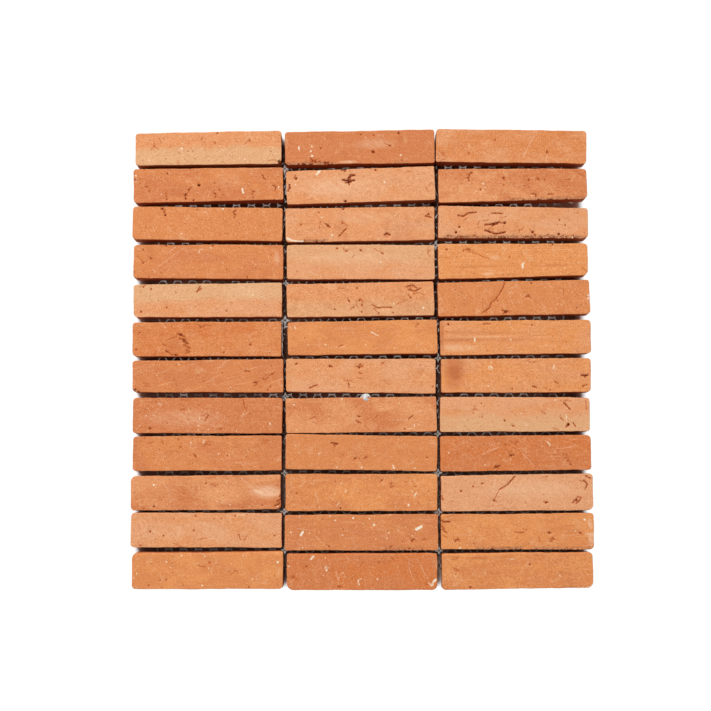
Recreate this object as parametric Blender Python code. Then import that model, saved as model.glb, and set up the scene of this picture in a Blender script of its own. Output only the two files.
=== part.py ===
"""A sheet of brick slips: fired-clay slips laid by hand in a stack bond on a hexagonal nylon net."""

import math

import bmesh
import bpy
from mathutils import Matrix, Vector

# The slips: thin hand-moulded bricks, one piece of fired clay each
COLUMNS = 3
ROWS = 12
SLIP_LENGTH = 0.0977
SLIP_HEIGHT = 0.02245
SLIP_THICKNESS = 0.012
CORNER_RADIUS = 0.0010
ARRIS_RADIUS = 0.0004
BACK_CHAMFER = 0.0005
ROUNDING_STEPS = 2

# The open joints between the slips
COLUMN_JOINT = 0.0023
ROW_JOINT = 0.00267

# The net: strands fused where they meet, in open hexagons measured across their flats
NET_CELL = 0.014
STRAND_WIDTH = 0.0007
STRAND_HEIGHT = 0.0005
NET_INSET = 0.010
NET_BANDS = 3

# The slips' backs clear the net's ridges by this much, and so do the net's bands from each other
SEAT_GAP = 0.0003

# How the slips lie off the even grid, judged by eye: (row, column): (along, up, turn).
# along is a share of the column joint. up, and turn from end to end, are shares of the row joint.
LAID_BY_HAND = {
    (1, 1): (0.0, 0.05, 0.4),
    (1, 2): (-0.15, 0.15, 0.45),
    (1, 3): (-0.25, 0.25, -0.7),
    (2, 1): (0.0, 0.35, 0.5),
    (2, 2): (0.05, 0.05, 1.15),
    (2, 3): (0.0, 0.05, 0.4),
    (3, 1): (-0.2, 0.05, -0.6),
    (3, 2): (-0.2, -0.25, 0.35),
    (3, 3): (0.0, 0.05, -0.45),
    (4, 1): (0.1, 0.05, -0.3),
    (4, 2): (0.0, -0.2, -0.15),
    (4, 3): (-0.15, 0.05, 0.4),
    (5, 1): (0.0, -0.1, 0.15),
    (5, 2): (-0.15, -0.05, 0.5),
    (5, 3): (-0.05, 0.15, 0.6),
    (6, 1): (-0.2, -0.2, -0.05),
    (6, 2): (0.4, 0.0, 0.4),
    (6, 3): (0.3, -0.05, 0.25),
    (7, 1): (0.15, 0.15, 0.05),
    (7, 2): (-0.1, 0.1, -0.35),
    (7, 3): (0.3, 0.0, 0.05),
    (8, 1): (0.1, -0.05, -0.25),
    (8, 2): (-0.05, -0.05, 0.4),
    (8, 3): (-0.15, -0.05, -0.15),
    (9, 1): (0.05, 0.2, 0.0),
    (9, 2): (-0.05, 0.2, -0.7),
    (9, 3): (-0.1, -0.05, 0.25),
    (10, 1): (-0.35, 0.1, 0.2),
    (10, 2): (-0.05, 0.0, -0.15),
    (10, 3): (0.2, -0.2, 0.3),
    (11, 1): (-0.15, 0.5, -0.25),
    (11, 2): (-0.1, -0.2, 0.0),
    (11, 3): (0.15, -0.15, -0.05),
    (12, 1): (0.25, 0.25, 0.05),
    (12, 2): (0.0, -0.2, -0.1),
    (12, 3): (0.0, -0.1, 0.35),
}

# How the slips differ from their nominal size, judged by eye: (row, column): (longer, taller, flare).
# longer is a share of the column joint. taller, and flare towards the left end, are shares of the row joint.
MOULDED_BY_HAND = {
    (1, 1): (-0.7, -0.2, -0.3),
    (1, 2): (0.35, -0.1, 0.0),
    (1, 3): (0.6, -0.15, 0.15),
    (2, 1): (0.3, -0.15, 0.5),
    (2, 2): (-0.05, -0.05, -0.05),
    (2, 3): (-0.05, -0.45, 0.95),
    (3, 1): (0.25, -0.2, 0.05),
    (3, 2): (0.05, -0.05, 0.3),
    (3, 3): (0.2, -0.65, 0.5),
    (4, 1): (0.15, -0.05, -0.4),
    (4, 2): (-0.3, 0.1, -0.1),
    (4, 3): (0.05, -0.1, 0.85),
    (5, 1): (-0.3, -0.15, -0.4),
    (5, 2): (-0.7, -0.15, -0.2),
    (5, 3): (0.7, 0.0, -0.2),
    (6, 1): (-0.2, 0.05, -0.3),
    (6, 2): (-0.1, -0.2, -0.25),
    (6, 3): (0.15, -0.1, 0.35),
    (7, 1): (0.15, -0.5, -0.5),
    (7, 2): (-0.2, -0.15, -0.4),
    (7, 3): (-0.1, -0.15, -0.1),
    (8, 1): (-0.25, 0.2, 0.0),
    (8, 2): (0.05, 0.1, 0.0),
    (8, 3): (-0.25, -0.05, 0.4),
    (9, 1): (-0.6, 0.0, -0.05),
    (9, 2): (0.15, 0.05, 0.05),
    (9, 3): (-0.05, 0.1, 0.2),
    (10, 1): (-0.35, -0.05, 0.1),
    (10, 2): (0.25, 0.5, -0.05),
    (10, 3): (0.3, 0.3, -0.35),
    (11, 1): (-0.1, -0.1, 0.05),
    (11, 2): (0.5, 0.2, -0.2),
    (11, 3): (0.35, 0.2, -0.4),
    (12, 1): (-0.25, 0.55, -0.35),
    (12, 2): (-0.45, 0.4, 0.05),
    (12, 3): (-0.2, 0.25, 0.15),
}

# Clay tones in linear red, green and blue, with one tone for each slip from the top row down
CLAY_TONES = {
    "peach": (0.77, 0.34, 0.155),
    "sand": (0.76, 0.43, 0.24),
    "pink": (0.80, 0.40, 0.21),
    "orange": (0.74, 0.28, 0.10),
    "amber": (0.80, 0.33, 0.12),
    "rust": (0.68, 0.24, 0.10),
}
TONES_BY_ROW = (
    ("sand", "rust", "peach"),
    ("rust", "pink", "rust"),
    ("orange", "pink", "peach"),
    ("orange", "sand", "amber"),
    ("sand", "peach", "orange"),
    ("orange", "orange", "amber"),
    ("orange", "peach", "peach"),
    ("pink", "rust", "sand"),
    ("orange", "amber", "rust"),
    ("orange", "orange", "pink"),
    ("peach", "orange", "amber"),
    ("orange", "rust", "orange"),
)
CLAY_ROUGHNESS = 0.85
NYLON_COLOUR = (0.62, 0.60, 0.56)
NYLON_ROUGHNESS = 0.45

# What the sizes above give
COLUMN_PITCH = SLIP_LENGTH + COLUMN_JOINT
ROW_PITCH = SLIP_HEIGHT + ROW_JOINT
SHEET_LENGTH = COLUMNS * COLUMN_PITCH - COLUMN_JOINT
SHEET_HEIGHT = ROWS * ROW_PITCH - ROW_JOINT
SLIP_BACK = STRAND_HEIGHT + SEAT_GAP


def clear_scene():
    """Start from an empty scene."""
    for leftover in list(bpy.data.objects):
        bpy.data.objects.remove(leftover, do_unlink=True)


def principled(name, colour, roughness):
    """A plain material with the piece's colour and roughness."""
    material = bpy.data.materials.new(name)
    material.use_nodes = True
    shader = material.node_tree.nodes["Principled BSDF"]
    shader.inputs["Base Color"].default_value = (*colour, 1.0)
    shader.inputs["Roughness"].default_value = roughness
    shader.inputs["Metallic"].default_value = 0.0
    return material


def add_object(name, bm, material, parent):
    """Turn a finished bmesh into a named object with one material."""
    mesh = bpy.data.meshes.new(name)
    bm.to_mesh(mesh)
    bm.free()
    mesh.materials.append(material)
    piece = bpy.data.objects.new(name, mesh)
    bpy.context.collection.objects.link(piece)
    piece.parent = parent
    return piece


def slip_size(row, column):
    """A slip's own length, and its heights at its left and right ends, as its mould and its maker left them."""
    longer, taller, flare = MOULDED_BY_HAND.get((row, column), (0.0, 0.0, 0.0))
    length = SLIP_LENGTH + longer * COLUMN_JOINT
    height = SLIP_HEIGHT + taller * ROW_JOINT
    return length, height + flare * ROW_JOINT / 2, height - flare * ROW_JOINT / 2


def slip_body(row, column):
    """One slip: a moulded block with rounded corners, a worn arris round its face and an eased back."""
    length, left_height, right_height = slip_size(row, column)
    bm = bmesh.new()
    bmesh.ops.create_cube(bm, size=1.0)
    for vert in bm.verts:
        vert.co.y *= left_height if vert.co.x < 0.0 else right_height
    bmesh.ops.scale(bm, vec=(length, 1.0, SLIP_THICKNESS), verts=bm.verts)
    bmesh.ops.translate(bm, vec=(0.0, 0.0, SLIP_THICKNESS / 2), verts=bm.verts)
    middle = SLIP_THICKNESS / 2

    corners = [e for e in bm.edges if (e.verts[0].co.z - middle) * (e.verts[1].co.z - middle) < 0.0]
    round_over(bm, corners, CORNER_RADIUS)
    face_arris = [e for e in bm.edges if min(v.co.z for v in e.verts) > middle]
    round_over(bm, face_arris, min(ARRIS_RADIUS, CORNER_RADIUS))
    back_arris = [e for e in bm.edges if max(v.co.z for v in e.verts) < middle]
    bmesh.ops.bevel(
        bm, geom=back_arris, offset=BACK_CHAMFER, segments=1, profile=0.5, affect="EDGES", material=-1
    )
    return bm


def round_over(bm, edges, radius):
    """Round the given edges to a radius."""
    bmesh.ops.bevel(
        bm, geom=edges, offset=radius, segments=ROUNDING_STEPS, profile=0.5, affect="EDGES", material=-1
    )


def slip_place(row, column):
    """Where a slip lies: its place on the grid, with the shift and turn that hand laying gave it."""
    along, up, turn = LAID_BY_HAND.get((row, column), (0.0, 0.0, 0.0))
    x = (column - (COLUMNS + 1) / 2) * COLUMN_PITCH + along * COLUMN_JOINT
    y = ((ROWS + 1) / 2 - row) * ROW_PITCH + up * ROW_JOINT
    return Vector((x, y, SLIP_BACK)), math.atan2(turn * ROW_JOINT, SLIP_LENGTH)


def lay_slips(parent):
    """Lay every slip on the net, row by row from the top."""
    tones = {name: principled(f"clay_{name}", colour, CLAY_ROUGHNESS) for name, colour in CLAY_TONES.items()}
    for row in range(1, ROWS + 1):
        for column in range(1, COLUMNS + 1):
            row_tones = TONES_BY_ROW[(row - 1) % len(TONES_BY_ROW)]
            tone = tones[row_tones[(column - 1) % len(row_tones)]]
            slip = add_object(f"brick_slip_r{row:02d}_c{column}", slip_body(row, column), tone, parent)
            slip.location, slip.rotation_euler.z = slip_place(row, column)
            for face in slip.data.polygons:
                face.use_smooth = True
            slip.data.set_sharp_from_angle(angle=math.radians(50.0))


def hexagon_sheet():
    """A flat sheet of hexagons, as wide and high as the net's inset leaves, centred on the origin."""
    side = NET_CELL / math.sqrt(3.0)
    step = 1.5 * side
    columns = int((SHEET_LENGTH - 2 * NET_INSET - 2 * side) / step) + 1
    rows = int((SHEET_HEIGHT - 2 * NET_INSET - NET_CELL / 2) / NET_CELL)
    left = -step * (columns - 1) / 2
    bottom = -NET_CELL * (rows - 0.5) / 2
    quarter_turn = Matrix.Rotation(math.radians(30.0), 4, "Z")
    bm = bmesh.new()
    for column in range(columns):
        for row in range(rows):
            centre = Vector((left + column * step, bottom + (row + 0.5 * (column % 2)) * NET_CELL, 0.0))
            place = Matrix.Translation(centre) @ quarter_turn
            bmesh.ops.create_circle(bm, cap_ends=True, segments=6, radius=side, matrix=place)
    bmesh.ops.remove_doubles(bm, verts=bm.verts, dist=side / 100.0)
    return bm, bottom - NET_CELL / 2


def strands_from(sheet):
    """Turn the edges of a flat sheet into strands fused where they meet, with a ridge and a flat back."""
    mesh = bpy.data.meshes.new("net_pattern")
    sheet.to_mesh(mesh)
    sheet.free()
    pattern = bpy.data.objects.new("net_pattern", mesh)
    bpy.context.collection.objects.link(pattern)
    wire = pattern.modifiers.new("strands", "WIREFRAME")
    wire.thickness = STRAND_WIDTH
    wire.use_even_offset = True
    wire.use_boundary = True
    wire.use_replace = True
    strands = bmesh.new()
    strands.from_object(pattern, bpy.context.evaluated_depsgraph_get())
    bpy.data.objects.remove(pattern, do_unlink=True)
    ridge = max(v.co.z for v in strands.verts)
    for vert in strands.verts:
        vert.co.z = max(vert.co.z, 0.0) * STRAND_HEIGHT / ridge
    return strands


def cut_band(strands, low, high):
    """The stretch of net between two lines across the sheet, with its cut strands closed."""
    band = strands.copy()
    for level, keeps_below in ((high, True), (low, False)):
        if level is None:
            continue
        bmesh.ops.bisect_plane(
            band,
            geom=[*band.verts, *band.edges, *band.faces],
            plane_co=(0.0, level, 0.0),
            plane_no=(0.0, 1.0, 0.0),
            clear_outer=keeps_below,
            clear_inner=not keeps_below,
        )
    open_edges = [edge for edge in band.edges if edge.is_boundary]
    bmesh.ops.holes_fill(band, edges=open_edges, sides=0)
    return band


def make_net(parent):
    """The net, in bands that follow each other down the sheet, cut half way along its slanting strands."""
    nylon = principled("net_nylon", NYLON_COLOUR, NYLON_ROUGHNESS)
    sheet, lowest = hexagon_sheet()
    strands = strands_from(sheet)
    half_cells = round(-2 * lowest / (NET_CELL / 2))
    cuts = [None]
    for band in range(1, NET_BANDS):
        cuts.append(lowest + (round(half_cells * band / NET_BANDS) + 0.5) * NET_CELL / 2)
    cuts.append(None)
    for number in range(NET_BANDS):
        low, high = cuts[number], cuts[number + 1]
        low = None if low is None else low + SEAT_GAP / 2
        high = None if high is None else high - SEAT_GAP / 2
        add_object(f"backing_net_{NET_BANDS - number}", cut_band(strands, low, high), nylon, parent)
    strands.free()


def centre_on_origin(sheet):
    """Stand the sheet on z = 0 with the middle of its outline over the origin."""
    bpy.context.view_layer.update()
    points = [piece.matrix_world @ v.co for piece in sheet.children for v in piece.data.vertices]
    for axis in (0, 1):
        values = [point[axis] for point in points]
        sheet.location[axis] = -(min(values) + max(values)) / 2


def main():
    """Make the net, lay the slips on it and centre the sheet."""
    clear_scene()
    sheet = bpy.data.objects.new("slip_sheet", None)
    bpy.context.collection.objects.link(sheet)
    make_net(sheet)
    lay_slips(sheet)
    centre_on_origin(sheet)


main()
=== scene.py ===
"""A sheet of brick slips on its net: the finished look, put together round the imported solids."""
import math
import random

import bmesh
import bpy
import numpy as np
from mathutils import Matrix, Vector, noise


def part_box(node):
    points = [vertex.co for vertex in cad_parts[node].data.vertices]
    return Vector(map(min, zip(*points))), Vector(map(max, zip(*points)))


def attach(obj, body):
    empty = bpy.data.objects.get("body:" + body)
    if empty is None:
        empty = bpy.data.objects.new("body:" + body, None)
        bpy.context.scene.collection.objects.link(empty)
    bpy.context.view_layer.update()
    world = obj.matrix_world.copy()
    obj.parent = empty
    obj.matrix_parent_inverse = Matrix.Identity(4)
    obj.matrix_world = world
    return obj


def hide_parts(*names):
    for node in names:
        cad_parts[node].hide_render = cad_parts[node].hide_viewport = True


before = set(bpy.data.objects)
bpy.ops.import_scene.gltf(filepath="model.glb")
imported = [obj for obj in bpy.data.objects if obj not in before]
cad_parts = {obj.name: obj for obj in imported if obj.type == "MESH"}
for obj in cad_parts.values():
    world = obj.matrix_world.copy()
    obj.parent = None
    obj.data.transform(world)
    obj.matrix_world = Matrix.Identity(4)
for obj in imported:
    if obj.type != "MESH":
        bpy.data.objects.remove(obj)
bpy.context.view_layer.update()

# The backing net
# One sheet of clear nylon strands in open hexagons, welded where they meet. The strands that run along the
# sheet are thicker and flatter than the slanting ones. The slips are glued on top of it.
MM = 0.001
ROWS = 12
COLUMNS = 3
NET_CELL = 5.6 * MM
NET_LENGTH = 272 * MM
NET_HEIGHT = 280 * MM
STRAND = 0.44 * MM
RIDGE = 0.45 * MM
HOLE_SQUASH = 0.95
STRAND_DRIFT = (0.8 * MM, 0.5 * MM)
NYLON_CLOUDY = (0.46, 0.43, 0.40, 1)
NYLON_CLEAR = (0.86, 0.84, 0.82, 1)
NYLON_DARKER = (0.16, 0.10, 0.075, 1)
# Painted shade for the strands and the floor under the column joints
JOINT_SHADE = (0.075, 0.030, 0.018, 1)
# Painted light: how strongly the net glows with its own colour
NYLON_PAINTED_GLOW = 0.22
COLUMN_JOINT_AT = 50 * MM
LOWER_PART = (-30 * MM, -70 * MM)
NET_NODES = ("backing_net_1", "backing_net_2", "backing_net_3")


def only(parts, kind):
    """The faces, the edges or the corners among some parts."""
    return [part for part in parts if isinstance(part, kind)]


def mesh_from(bm, name):
    """Turn a bmesh into a mesh."""
    mesh = bpy.data.meshes.new(name)
    bm.to_mesh(mesh)
    bm.free()
    return mesh


def finish_piece(name, bm, material, replaced=()):
    """Turn a bmesh into a smooth-shaded piece that rides with the sheet."""
    mesh = mesh_from(bm, name)
    mesh.materials.append(material)
    mesh.shade_smooth()
    piece = bpy.data.objects.new(name, mesh)
    bpy.context.collection.objects.link(piece)
    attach(piece, "root")
    if replaced:
        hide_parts(*replaced)


def add(tree, kind, inputs=None, **settings):
    """Add a shader node with its settings and with a value or a link for each input named."""
    made = tree.nodes.new(kind)
    for name, value in settings.items():
        setattr(made, name, value)
    for key, value in (inputs or {}).items():
        if isinstance(value, bpy.types.NodeSocket):
            tree.links.new(value, made.inputs[key])
        else:
            made.inputs[key].default_value = value
    return made


def noise_of(tree, vector, scale, detail=2.0, roughness=0.5, distortion=0.0):
    """The value of a noise pattern."""
    made = add(tree, "ShaderNodeTexNoise", {
        "Vector": vector, "Scale": scale, "Detail": detail, "Roughness": roughness, "Distortion": distortion})
    return made.outputs["Fac"]


def ramp(tree, value, low, high, start=0.0, end=1.0):
    """A value eased from start to end as it goes from low to high."""
    made = add(tree, "ShaderNodeMapRange", {
        "Value": value, "From Min": low, "From Max": high, "To Min": start, "To Max": end},
        interpolation_type="SMOOTHSTEP")
    return made.outputs["Result"]


def maths(tree, operation, first, second=0.0):
    """One sum on two values."""
    made = add(tree, "ShaderNodeMath", {0: first, 1: second}, operation=operation)
    return made.outputs[0]


def blend_colour(tree, share, under, over):
    """One colour laid over another."""
    made = add(tree, "ShaderNodeMix", {0: share, 6: under, 7: over}, data_type="RGBA")
    return made.outputs[2]


def place_in(tree):
    """Where a point of the piece lies."""
    return add(tree, "ShaderNodeTexCoord").outputs["Object"]


def parts_of(tree, vector):
    """A vector's X, Y and Z."""
    return add(tree, "ShaderNodeSeparateXYZ", {0: vector}).outputs


def stretched(tree, vector, stretch, turn=0.0):
    """A pattern's coordinates turned and then stretched."""
    turned = add(tree, "ShaderNodeVectorRotate", {"Vector": vector, "Angle": turn}, rotation_type="Z_AXIS")
    made = add(tree, "ShaderNodeVectorMath", {0: turned.outputs[0], 1: stretch}, operation="MULTIPLY")
    return made.outputs[0]


def off_column_joint(tree, x):
    """How far a point lies from the nearer of the two column joints."""
    past = maths(tree, "SUBTRACT", maths(tree, "ABSOLUTE", x), COLUMN_JOINT_AT)
    return maths(tree, "ABSOLUTE", past)


def roughen(tree, shader, height, strength, distance):
    """Give a finish its fine grain."""
    bump = add(tree, "ShaderNodeBump", {"Height": height, "Strength": strength, "Distance": distance})
    tree.links.new(bump.outputs[0], shader.inputs["Normal"])


def new_material(name):
    """An empty node material, with its tree and its shader."""
    material = bpy.data.materials.new(name)
    material.use_nodes = True
    tree = material.node_tree
    return material, tree, tree.nodes["Principled BSDF"]


def nylon_material():
    """Clear nylon gone grey-white, cloudier where the strands are welded, with painted shade and a faint
    painted glow.
    """
    material, tree, shader = new_material("net_nylon")
    where = place_in(tree)
    cloud = noise_of(tree, where, 350.0, 3.0)
    grime = noise_of(tree, where, 45.0, 3.0)
    colour = blend_colour(tree, ramp(tree, cloud, 0.35, 0.65), NYLON_CLOUDY, NYLON_CLEAR)
    colour = blend_colour(tree, ramp(tree, grime, 0.47, 0.60, 0.0, 0.85), colour, NYLON_DARKER)
    split = parts_of(tree, where)
    # The strands are darker towards the bottom of the sheet.
    colour = blend_colour(tree, ramp(tree, split["Y"], *LOWER_PART, 0.0, 0.8), colour, NYLON_DARKER)
    # Painted shade: the strands under the two column joints are darkened, where the deep narrow joints shade
    # them.
    near_joint = ramp(tree, off_column_joint(tree, split["X"]), 4 * MM, 1.6 * MM)
    shade_in_joint = maths(tree, "MULTIPLY", near_joint, ramp(tree, cloud, 0.60, 0.50, 0.1, 1.0))
    colour = blend_colour(tree, shade_in_joint, colour, JOINT_SHADE)
    tree.links.new(colour, shader.inputs["Base Color"])
    # Painted light: the strands glow faintly with their own colour, so they show pale down in the shaded
    # joints.
    tree.links.new(colour, shader.inputs["Emission Color"])
    shader.inputs["Emission Strength"].default_value = NYLON_PAINTED_GLOW
    tree.links.new(ramp(tree, cloud, 0.3, 0.7, 0.3, 0.55), shader.inputs["Roughness"])
    roughen(tree, shader, cloud, 0.4, 0.1 * MM)
    return material


def net_cells(cell, length, height):
    """A flat sheet of hexagons that share their corners, in whole cells, centred on the origin."""
    side = cell / math.sqrt(3.0)
    step = 1.5 * side
    columns = int((length - 2 * side) / step) + 1
    rows = int((height - cell / 2) / cell)
    left = -step * (columns - 1) / 2
    bottom = -cell * (rows - 0.5) / 2
    flat_top = Matrix.Rotation(math.radians(30), 4, "Z")
    bm = bmesh.new()
    for column in range(columns):
        for row in range(rows):
            centre = Matrix.Translation((left + column * step, bottom + (row + 0.5 * (column % 2)) * cell, 0))
            bmesh.ops.create_circle(bm, cap_ends=True, segments=6, radius=side, matrix=centre @ flat_top)
    bmesh.ops.remove_doubles(bm, verts=bm.verts, dist=side / 50)
    return bm


def make_net():
    """Strands between rounded holes, ridged on top and flat underneath."""
    bm = net_cells(NET_CELL, NET_LENGTH, NET_HEIGHT)
    bmesh.ops.subdivide_edges(bm, edges=bm.edges, cuts=1)
    skeleton = list(bm.verts)
    cells = list(bm.faces)
    bmesh.ops.inset_individual(bm, faces=cells, thickness=STRAND / 2, use_even_offset=True)
    for hole in cells:
        middle = hole.calc_center_median()
        reach = min((vert.co - middle).length for vert in hole.verts)
        for vert in hole.verts:
            arm = vert.co - middle
            arm *= 1 - 0.6 * (1 - reach / arm.length)
            arm.y *= HOLE_SQUASH
            vert.co = middle + arm
    bmesh.ops.delete(bm, geom=cells, context="FACES_ONLY")
    under = bmesh.ops.duplicate(bm, geom=[*bm.verts, *bm.edges, *bm.faces])
    bmesh.ops.reverse_faces(bm, faces=only(under["geom"], bmesh.types.BMFace))
    for vert in skeleton:
        vert.co.z = RIDGE
    bmesh.ops.remove_doubles(bm, verts=bm.verts, dist=STRAND / 50)
    for vert in bm.verts:
        place = Vector((vert.co.x * 25, vert.co.y * 25, 0.7))
        vert.co.x += noise.noise(place) * STRAND_DRIFT[0]
        vert.co.y += noise.noise(place + Vector((0, 0, 40))) * STRAND_DRIFT[1]
    bmesh.ops.recalc_face_normals(bm, faces=bm.faces)
    finish_piece("hexagon_net", bm, nylon_material(), NET_NODES)


make_net()

# The glue
# A clear-drying glue, spread on the slips' backs in dabs that take in the strands. Some has been squeezed
# up where four corners meet, one bead has set down the end of a slip, and one drop stands in a joint.
GLUE_TOP = 0.8 * MM
DAB_STEP = 19 * MM
DAB_RIM = 1.4 * MM
DAB_HEIGHT = 0.5 * MM
SQUEEZED = (
    (1, 1, 1.3), (1, 4, 1.0), (1, 5, 1.5), (1, 7, 1.1), (1, 9, 1.0), (1, 10, 1.2), (1, 11, 1.1),
    (2, 3, 1.4), (2, 6, 1.1), (2, 8, 1.1), (2, 9, 1.3), (2, 10, 1.2), (2, 11, 1.2),
)
STAR_HEIGHT = 5.5 * MM
BEAD_RADIUS = 0.42 * MM
BEAD_STEPS = 26
DROP_ALONG = 52.2 * MM
GLUE_MILKY = (0.42, 0.40, 0.38, 1)
GLUE_CLEAR = (0.76, 0.75, 0.73, 1)
CLAY_DUST = (0.50, 0.33, 0.22, 1)
GLUE_DIP_SHADE = (0.10, 0.08, 0.07, 1)
BLACK = (0, 0, 0, 1)
# Painted light: how strongly the glue low in the joints glows
GLUE_PAINTED_GLOW = 0.30
GLOW_LEVELS = (8 * MM, 4 * MM)


def glue_material():
    """Dried glue: milky, a little yellowed and dusty, with painted shade in its dips and a painted glow low
    down.
    """
    material, tree, shader = new_material("dried_glue")
    where = place_in(tree)
    milk = noise_of(tree, where, 600.0, 3.0)
    dust = noise_of(tree, where, 180.0, 3.0)
    colour = blend_colour(tree, ramp(tree, milk, 0.3, 0.7), GLUE_MILKY, GLUE_CLEAR)
    colour = blend_colour(tree, ramp(tree, dust, 0.5, 0.7, 0.0, 0.5), colour, CLAY_DUST)
    # Painted shade: the glue is darkened in the sunk middle of each star and in the drop's dimple.
    dip_shade = add(tree, "ShaderNodeAttribute", attribute_name="dip_shade").outputs["Fac"]
    colour = blend_colour(tree, ramp(tree, dip_shade, 0.25, 0.7, 0.0, 0.9), colour, GLUE_DIP_SHADE)
    tree.links.new(colour, shader.inputs["Base Color"])
    # Painted light: the glue glows with its own colour up to 4 mm above the floor, fading out by 8 mm.
    deep = ramp(tree, parts_of(tree, where)["Z"], *GLOW_LEVELS)
    tree.links.new(blend_colour(tree, deep, BLACK, colour), shader.inputs["Emission Color"])
    shader.inputs["Emission Strength"].default_value = GLUE_PAINTED_GLOW
    tree.links.new(ramp(tree, milk, 0.3, 0.7, 0.25, 0.5), shader.inputs["Roughness"])
    roughen(tree, shader, milk, 0.5, 0.2 * MM)
    return material


def node_name(row, column):
    """The name of the solid of the slip in a row and a column."""
    return f"brick_slip_r{row:02d}_c{column}"


def crossing(joint, below_row):
    """The middle of the opening where a column joint meets the joint below a row."""
    corners = [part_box(node_name(row, column))
               for row in (below_row, below_row + 1) for column in (joint, joint + 1)]
    x = (max(corners[0][1][0], corners[2][1][0]) + min(corners[1][0][0], corners[3][0][0])) / 2
    y = (min(corners[0][0][1], corners[1][0][1]) + max(corners[2][1][1], corners[3][1][1])) / 2
    return Vector((x, y, 0))


def make_stars():
    """Glue squeezed up at the crossings, drawn out into the four joints and sunk in the middle."""
    bm = bmesh.new()
    shade = bm.verts.layers.float.new("dip_shade")
    for joint, row, size in SQUEEZED:
        lump = bmesh.ops.create_icosphere(bm, subdivisions=3, radius=1.0)["verts"]
        place = crossing(joint, row)
        for vert in lump:
            arms = abs(math.cos(2 * math.atan2(vert.co.y, vert.co.x))) ** 3
            rough = 1 + 0.25 * noise.noise(vert.co * 2.1 + place * 900)
            flat = Vector((vert.co.x, vert.co.y)) * size * MM * (0.85 + 1.35 * arms) * rough
            dip = math.exp(-(vert.co.x**2 + vert.co.y**2) / 0.22)
            lift = max(vert.co.z, 0.0) ** 0.6 * (1.0 - 0.35 * arms) * (1 - 0.85 * dip)
            lift = lift * STAR_HEIGHT * size / 1.2
            # How much painted shade the glue gets, deepest in the star's sunk middle
            vert[shade] = dip
            vert.co = (place.x + flat.x, place.y + flat.y, 0.2 * MM + lift)
    bmesh.ops.remove_doubles(bm, verts=bm.verts, dist=0.001 * MM)
    bmesh.ops.dissolve_degenerate(bm, dist=0.001 * MM, edges=bm.edges)
    bmesh.ops.recalc_face_normals(bm, faces=bm.faces)
    finish_piece("glue_at_crossings", bm, GLUE)


def make_dabs():
    """Flat dabs between the slips' backs and the net."""
    bm = bmesh.new()
    draw = random.Random(11)
    for row in range(1, ROWS + 1):
        for column in range(1, COLUMNS + 1):
            low, high = (Vector(corner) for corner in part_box(node_name(row, column)))
            across = int((high.x - low.x) / DAB_STEP)
            for number in range(across):
                x = low.x + (number + 0.5) * (high.x - low.x) / across + draw.uniform(-3, 3) * MM
                y = (low.y + high.y) / 2 + draw.uniform(-2, 2) * MM
                reach = draw.uniform(5.0, 7.5) * MM
                place = Matrix.Translation((x, y, GLUE_TOP - 0.02 * MM))
                dab = bmesh.ops.create_circle(
                    bm, cap_ends=True, segments=20, radius=reach, matrix=place)["verts"]
                for vert in dab:
                    arm = vert.co - place.translation
                    vert.co = place.translation + arm * (1 + 0.3 * noise.noise(vert.co * 210))
                face = dab[0].link_faces[0]
                bmesh.ops.inset_region(bm, faces=[face], thickness=DAB_RIM)
                bmesh.ops.translate(bm, vec=(0, 0, -DAB_HEIGHT), verts=face.verts)
    bmesh.ops.reverse_faces(bm, faces=bm.faces)
    rims = [edge for edge in bm.edges if edge.is_boundary]
    bmesh.ops.holes_fill(bm, edges=rims, sides=0)
    bmesh.ops.recalc_face_normals(bm, faces=bm.faces)
    finish_piece("glue_dabs", bm, GLUE)


def make_bead():
    """The bead down the right end of the first slip of row six."""
    low, high = (Vector(corner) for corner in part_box(node_name(6, 1)))
    bm = bmesh.new()
    ring = bmesh.ops.create_circle(
        bm, cap_ends=True, segments=10, radius=BEAD_RADIUS,
        matrix=Matrix.Translation((high.x + 0.1 * MM, high.y - 0.6 * MM, high.z - 3.4 * MM))
        @ Matrix.Rotation(math.radians(90), 4, "X"))["verts"]
    face = ring[0].link_faces[0]
    step = (high.y - low.y - 1.2 * MM) / BEAD_STEPS
    for number in range(BEAD_STEPS):
        grown = bmesh.ops.extrude_face_region(bm, geom=[face])["geom"]
        face = only(grown, bmesh.types.BMFace)[0]
        sway = Vector((0.12 * math.sin(number * 0.9), -step / MM, 0.35 * math.sin(number * 0.5))) * MM
        bmesh.ops.translate(bm, vec=sway, verts=face.verts)
    bmesh.ops.recalc_face_normals(bm, faces=bm.faces)
    finish_piece("glue_bead", bm, GLUE)


def make_drop():
    """The drop that stands in the joint below the middle slip of row seven, pinched round a hole."""
    low, high = (Vector(corner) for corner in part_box(node_name(8, 2)))
    bm = bmesh.new()
    shade = bm.verts.layers.float.new("dip_shade")
    lump = bmesh.ops.create_icosphere(bm, subdivisions=4, radius=1.0)["verts"]
    place = Vector((low.x + DROP_ALONG, high.y - 0.9 * MM, high.z - 1.5 * MM))
    for vert in lump:
        rough = 1 + 0.3 * noise.noise(vert.co * 1.6)
        dimple = math.exp(-((vert.co.x - 0.45) ** 2 + (vert.co.y - 0.1) ** 2) / 0.04) * max(vert.co.z, 0)
        # How much painted shade the glue gets in the dimple
        vert[shade] = dimple
        vert.co = place + Vector((
            vert.co.x * 3.6 * rough, vert.co.y * 2.8 * rough, (vert.co.z * 1.9 - 2.0 * dimple) * rough)) * MM
    finish_piece("glue_drop", bm, GLUE)


GLUE = glue_material()
make_stars()
make_dabs()
make_bead()
make_drop()

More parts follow.
